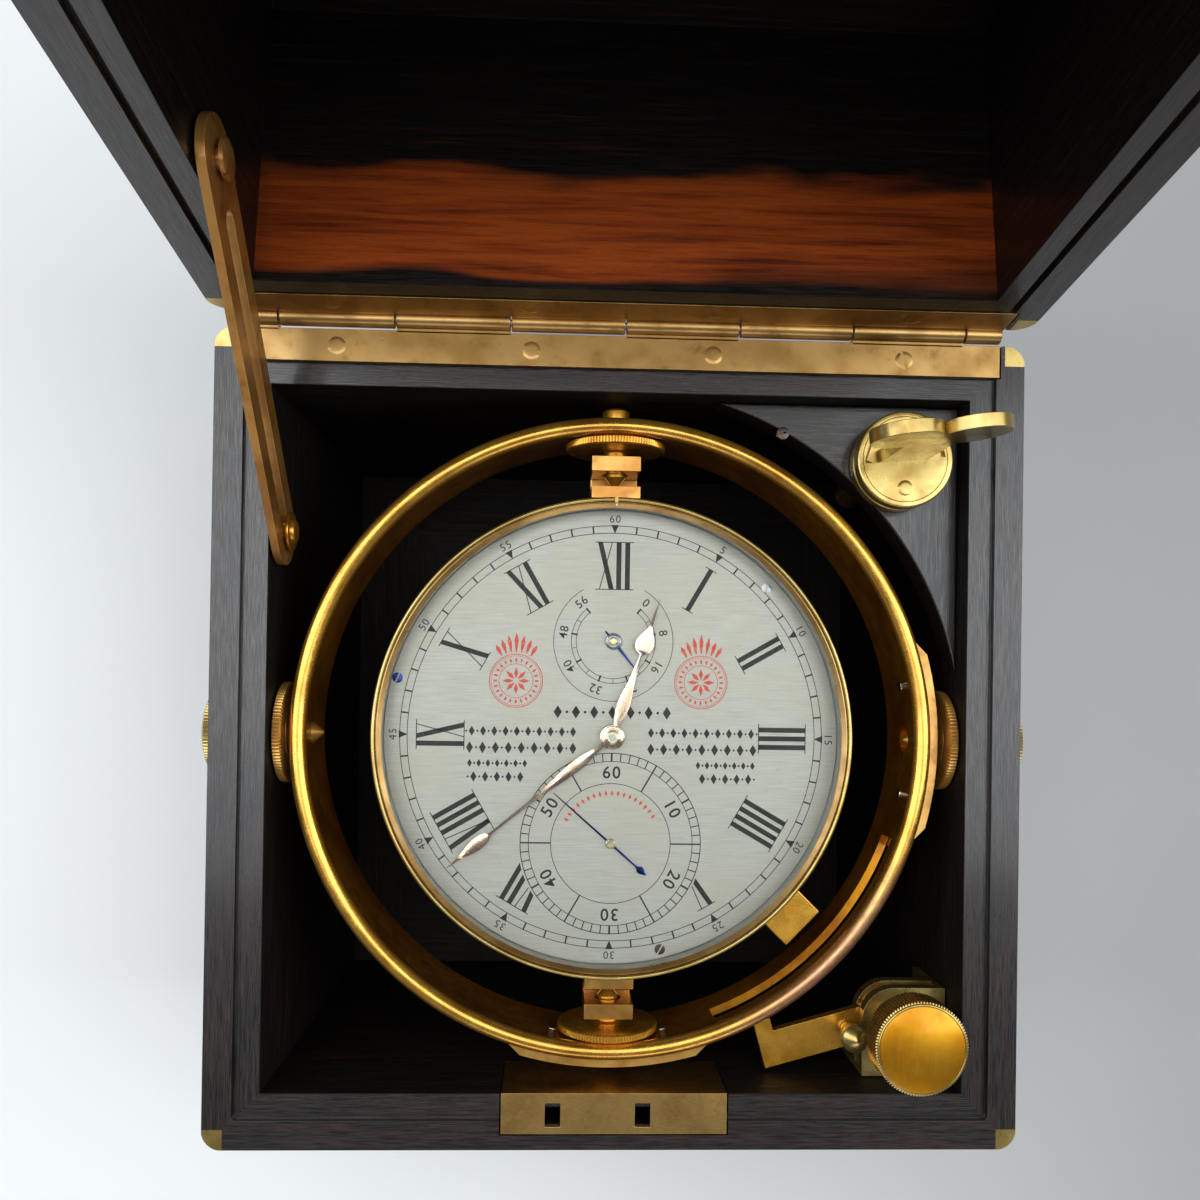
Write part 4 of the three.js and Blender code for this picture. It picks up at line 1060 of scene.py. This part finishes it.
def rosette(x, y):
    """A rosette in a double ring of leaves, under a fan of taller leaves."""
    middle = Vector((GIMBAL.x + x, GIMBAL.y + y, 0))
    form = circle(middle, 6.1, 0.2) + circle(middle, 5.7, 0.12) + circle(middle, 3.9, 0.16)
    for k in range(24):
        form += mark([(-0.14, 4.3), (0.14, 4.3), (0.26, 4.9), (0, 5.35), (-0.26, 4.9)], middle, k * 15)
    for k in range(8):
        form += mark([(0, 0.5), (0.5, 1.8), (0, 3.2), (-0.5, 1.8)], middle, k * 45)
    for k in range(-3, 4):
        tall = 4.6 - abs(k) * 0.55
        form += mark([(-0.12, 6.6), (0.12, 6.6), (0.5, 6.6 + tall * 0.6), (0, 6.6 + tall),
                      (-0.5, 6.6 + tall * 0.6)], middle, k * 10)
    return form


def build_dial():
    centre = GIMBAL
    thickness = DIAL_Z - DIAL_LOW.z
    rows = [(0, -thickness), (DIAL_RADIUS, -thickness), (DIAL_RADIUS, -0.08),
            (DIAL_RADIUS - 0.08, 0), (0, 0)]
    dial = make("dial_fine", lathe(rows, 192).over(centre, DIAL_Z), DIAL, "bowl", ["dial"])
    hole = rod(1, -3, 3, 24)
    centre_hole = rod(2.6, -3, 3)
    carve(dial, centre_hole.over(centre, DIAL_Z), hole.over(SECONDS, DIAL_Z),
          hole.over(RESERVE, DIAL_Z))
    make("minute_print", minute_track(centre) + hour_numerals(centre), BLACK_INK, "bowl")
    make("subdial_print", seconds_track(SECONDS) + reserve_track(RESERVE), BLACK_INK, "bowl")
    make("ornament_print", scrollwork(centre), BLACK_INK, "bowl")
    make("left_rosette_print", rosette(-22.3, 12.6), RED_INK, "bowl")
    make("right_rosette_print", rosette(20.4, 12.8), RED_INK, "bowl")
    beads = Form([], [])
    for heading in range(-62, 63, 7):
        beads += mark([(-0.35, 11.6), (0, 10.9), (0.35, 11.6), (0, 12.3)], SECONDS, heading)
    make("seconds_beads_print", beads, RED_INK, "bowl")
    screws = ((36.1, 35.6, 70, STEEL), (-50.4, 13.2, 65, BLUED), (12.0, -49.9, 60, SCREW_BROWN))
    for index, (x, y, turn, material) in enumerate(screws):
        point = (centre.x + x * 0.98, centre.y + y * 0.98, DIAL_Z)
        add_screw(f"dial_screw_{index + 1}", point, "bowl", material, 1.25, turn, dome=0.12)


# ---- hands ----
def ridged(profile, z0, edge, ridge):
    """A hand along +X with a ridge down its middle; the profile is (distance, half width) rows."""
    points, faces = [], []
    for distance, half in profile:
        points += [(distance, -half, z0), (distance, half, z0), (distance, -half, z0 + edge),
                   (distance, half, z0 + edge), (distance, 0, z0 + ridge)]
    for k in range(len(profile) - 1):
        a, b = 5 * k, 5 * k + 5
        faces += [(a, b, b + 1, a + 1), (a, a + 2, b + 2, b), (a + 1, b + 1, b + 3, a + 3),
                  (a + 2, a + 4, b + 4, b + 2), (a + 4, a + 3, b + 3, b + 4)]
    last = 5 * (len(profile) - 1)
    faces += [(0, 1, 3, 4, 2), (last, last + 2, last + 4, last + 3, last + 1)]
    return Form(points, faces)


def spade_profile(length, belly, leaf, start):
    """Half widths along a hand: it swells, thins to a stalk, then opens into a leaf with a fine point."""
    near = [(0.045, 0.45), (0.10, 0.5 * belly), (0.17, 0.88 * belly), (0.23, belly), (0.30, 0.86 * belly),
            (0.40, 0.5 * belly), (0.50, 0.34 * belly), (start - 0.02, 0.27)]
    tip = [(0, 0.34), (0.012, 0.6 * leaf), (0.03, 0.84 * leaf), (0.055, 0.97 * leaf), (0.08, leaf),
           (0.11, 0.86 * leaf), (0.14, 0.62 * leaf), (0.17, 0.38 * leaf), (0.21, 0.16 * leaf)]
    rows = near + [(start + step, half) for step, half in tip] + [(1, 0.04)]
    return [(length * fraction, half) for fraction, half in rows]


def collet(radius, z0, z1):
    return lathe([(0, z0), (radius - 0.2, z0)] + fillet(radius, z1 - 0.15, 0.25) +
                 [(radius * 0.78, z1 - 0.12), (radius * 0.7, z1)] + [(0, z1)], 64)


def build_hands():
    level = GIMBAL.z
    hub = (GIMBAL.x, GIMBAL.y, level)
    pipe = rod(2.2, 1.4, 5)
    hour = ridged(spade_profile(33.6, 1.5, 2.15, 0.60), 4.95, 0.16, 0.42).turned(clock(HOUR_ANGLE))
    hour = (hour + collet(2.9, 4.9, 5.4) + pipe).at(hub)
    make("hour_hand_fine", hour, ROSE_GOLD, "hour_arbor", ["hour_hand"])
    minute = ridged(spade_profile(48, 1.25, 1.4, 0.745), 5.75, 0.16, 0.42).turned(clock(MINUTE_ANGLE))
    minute = (minute + collet(2.6, 5.7, 6.5)).at(hub)
    make("minute_hand_fine", minute, ROSE_GOLD, "minute_arbor", ["minute_hand"])
    square = slab(-0.75, 0.75, -0.75, 0.75, 6.2, 7.05).turned(20).at(hub)
    make("centre_square", square, STEEL, "minute_arbor", bevel=0.12)
    make("centre_collet", collet(1.75, 6.3, 6.8).at(hub), PALE_BRASS, "minute_arbor")
    needle = [(-17.6, 0.06), (-14, 0.13), (0, 0.24), (7.6, 0.2), (8.2, 0.35), (8.9, 0.85), (9.5, 0.8),
              (10.4, 0.35), (11, 0.05)]
    seconds = ridged(needle, 4.3, 0.12, 0.2).turned(clock(SECONDS_ANGLE))
    seconds = seconds.over(SECONDS, level)
    make("seconds_hand_fine", seconds, BLUED, "seconds_arbor", ["seconds_hand"])
    make("seconds_collet", collet(1.2, 4.1, 4.95).over(SECONDS, level), PALE_BRASS,
         "seconds_arbor")
    short = [(-3, 0.15), (0, 0.4), (6.6, 0.2), (8.2, 0.05)]
    reserve = ridged(short, 4.3, 0.12, 0.2).turned(clock(RESERVE_ANGLE)).over(RESERVE, level)
    make("up_down_hand_fine", reserve, BLUED, "up_down_arbor", ["up_down_hand"])
    make("up_down_collet", collet(1.9, 4.1, 4.7).over(RESERVE, level), STEEL, "up_down_arbor")
    make("up_down_screw", collet(1.0, 4.6, 5.1).over(RESERVE, level), PALE_BRASS,
         "up_down_arbor")


# ---- gimbal lock ----
THUMB_RADIUS = 10.2


def build_gimbal_lock():
    finish_node("lock_bracket", BRASS, 0.25)
    finish_node("lock_arm", GILT, 0.25)
    low, high = mm_box("lock_arm_knob")
    middle = (low + high) / 2
    tall = high.z - low.z
    knob = lathe([(0, 0), (1.6, 0), (1.6, 1.6), (2.0, 2.2), (2.4, 3), (3.1, tall - 2.6),
                  (3.2, tall - 2.0), (2.9, tall - 1.5), (0.4, tall - 0.05), (0, tall)], 48)
    make("lock_knob_fine", knob.over(middle, low.z), BRASS, "lock_arm", ["lock_arm_knob"])
    top = mm_box("lock_thumbscrew")[1].z
    radius = THUMB_RADIUS
    face = top - 0.02
    rim = serrated(radius, 0.42, 96, top - 8, top - 0.35, 0.35)
    lip = lathe([(0, top - 1), (radius - 0.5, top - 1)] + fillet(radius - 0.42, top - 0.04, 0.25) +
                [(radius - 0.8, top - 0.04), (radius - 0.95, top - 0.2), (0, top - 0.2)], 96)
    stem = lathe([(0, GIMBAL.z - 6), (2.4, GIMBAL.z - 6), (2.4, GIMBAL.z + 5), (4.6, GIMBAL.z + 5),
                  (4.6, top - 9.4), (6, top - 8.6), (radius - 1.2, top - 8), (0, top - 8)], 64)
    make("thumbscrew_fine", (rim + lip + stem).over(LOCK), BRASS, "thumbscrew",
         ["lock_thumbscrew"])
    disc = lathe([(0, top - 0.6), (radius - 0.97, top - 0.6), (radius - 0.97, face - 0.06),
                  (radius - 1.1, face), (0, face)], 96)
    make("thumbscrew_face", disc.over(LOCK), THUMB_FACE, "thumbscrew")


# ---- winding key ----
WING = 7.3
WING_OFFSET = 7.1
WING_HEIGHT = 25.6
GRIP_WAIST = 5.6
GRIP_TURN = 6
GRIP_BACK = 1.2
CAP_HEIGHT = 3.2
POCKET_DEPTH = 1.3


def grip_form():
    """Butterfly grip: a web and two round wings, as one plate standing on the X axis."""
    foot = math.degrees(math.acos((GRIP_WAIST - WING_OFFSET) / WING))
    notch = math.degrees(math.acos(-WING_OFFSET / WING))
    right = arc(WING, -foot, notch, 60, (WING_OFFSET, WING_HEIGHT))
    left = [(-x, y) for x, y in reversed(right[:-1])]
    web = [(-GRIP_WAIST - 0.6, 1.2), (GRIP_WAIST + 0.6, 1.2), (GRIP_WAIST, 6)]
    return prism([(-GRIP_WAIST, 6)] + web + right + left, -1.4, 1.4).turned(90, "X")


def build_key():
    seat = mm_box("key_handle")[0].z
    base = seat - 3.6
    body = lathe([(0, base - 40.3), (3.3, base - 40.3), (3.6, base - 40), (3.6, base), (10.4, base),
                  (10.8, base + 0.4), (10.8, seat - 0.6), (10.5, seat - 0.3), (0, seat - 0.3)], 96)
    pipe = make("key_housing", body.over(KEY), BRASS, "key", ["key_pipe"])
    carve(pipe, slab(-1.9, 1.9, -1.9, 1.9, base - 41, base - 25).over(KEY))
    top = seat + CAP_HEIGHT
    cap = lathe([(0, seat), (10.5, seat), (10.8, seat + 0.3)] + fillet(10.8, top, 0.45) +
                [(9.6, top), (9.5, top - 0.18), (9.4, top), (0, top)], 96)
    housing = make("key_cap", cap.over(KEY), BRASS, "key_grip", ["key_handle"])
    pocket = prism(arc(9.1, 3, 177, 40), top - POCKET_DEPTH, top + 1).at(0, GRIP_BACK - 1.9, 0)
    carve(housing, pocket.turned(GRIP_TURN).over(KEY))
    grip = grip_form().at(0, GRIP_BACK, 0).turned(GRIP_TURN).over(KEY, seat)
    make("key_grip_wings", grip, BRASS, "key_grip", bevel=0.3)
    click = prism([(-8.7, 0.5), (-6.9, -0.4), (-6.6, 1.9), (-6.9, 4.6)],
                  top - POCKET_DEPTH - 0.1, top - 0.35)
    make("key_click", click.turned(GRIP_TURN).over(KEY), BRASS, "key_grip", bevel=0.1)
    add_screw("key_cap_screw", (KEY.x, KEY.y - 6.4, top), "key_grip", BRASS, 1.8, 2, dome=0.08)


def build_shelf_screw():
    high = mm_box("key_shelf")[1]
    add_screw("shelf_screw", (high.x - 40.5, high.y - 6.5, high.z), "box", SCREW_BROWN, 1.5, 20)


# ---- stage, light and camera ----
FLOOR_REACH = 4.0
FLOOR_GAP = 0.0002


def build_stage():
    mesh = bpy.data.meshes.new("floor")
    corners = [(x * FLOOR_REACH, y * FLOOR_REACH, 0) for x, y in ((-1, -1), (1, -1), (1, 1), (-1, 1))]
    mesh.from_pydata(corners, [], [(0, 1, 2, 3)])
    mesh.materials.append(painted_floor())
    floor = add_object("floor", mesh)
    floor.location.z = -FLOOR_GAP


def area_light(name, place, target, size, power, colour=(1, 1, 1)):
    light = bpy.data.lights.new(name, "AREA")
    light.shape = "RECTANGLE"
    light.size, light.size_y = size
    light.energy = power
    light.color = colour
    lamp = add_object(name, light)
    lamp.location = place
    lamp.rotation_euler = (Vector(target) - Vector(place)).to_track_quat("-Z", "Y").to_euler()


def build_light():
    world = bpy.data.worlds.new("studio")
    world.use_nodes = True
    world.node_tree.nodes["Background"].inputs["Color"].default_value = (0.85, 0.92, 1.0, 1)
    world.node_tree.nodes["Background"].inputs["Strength"].default_value = 0.20
    bpy.context.scene.world = world
    area_light("left_window", (-0.75, 0.15, 0.95), (0, 0, 0.1), (0.7, 1.3), 8.5, (0.88, 0.95, 1.0))
    area_light("right_window", (0.85, 0.1, 0.95), (0, 0, 0.1), (0.6, 1.2), 9, (0.90, 0.96, 1.0))
    area_light("overhead", (0.0, 0.25, 1.3), (0, 0.02, 0.1), (0.9, 0.7), 5, (1.0, 0.98, 0.95))
    area_light("front_fill", (0.1, -1.1, 0.7), (0, 0, 0.1), (0.9, 0.5), 2.2, (1.0, 0.96, 0.9))


FOCAL = 31.77
CAMERA_PLACE = Vector((-13.3, 14.6, 234.1))
TILT = (-0.4, 2.1, -0.87)


def build_camera():
    """Camera above the middle of the open box; its place is given from the middle of the rim."""
    camera = bpy.data.cameras.new("camera")
    camera.lens = FOCAL
    camera.sensor_width = 36
    camera.shift_x = 0.0005
    camera.shift_y = 0.0571
    camera.clip_start = 0.01
    eye = add_object("camera", camera)
    turns = [Matrix.Rotation(math.radians(angle), 3, axis) for angle, axis in zip(TILT, "XYZ")]
    world_to_eye = turns[2] @ turns[1] @ turns[0]
    eye.matrix_world = Matrix.Translation((CAMERA_PLACE + Vector((0, 0, RIM))) * MM) @ \
        world_to_eye.transposed().to_4x4()
    bpy.context.scene.camera = eye


bpy.context.scene.view_settings.view_transform = "Standard"
SHELF_WOOD = ebony("ebony_shelf", polished=True)
build_stage()
build_light()
build_camera()
build_wood()
build_hinge()
build_lock()
build_stay()
build_ring()
build_box_pivots()
build_bowl()
build_dial()
build_hands()
build_gimbal_lock()
build_key()
build_shelf_screw()
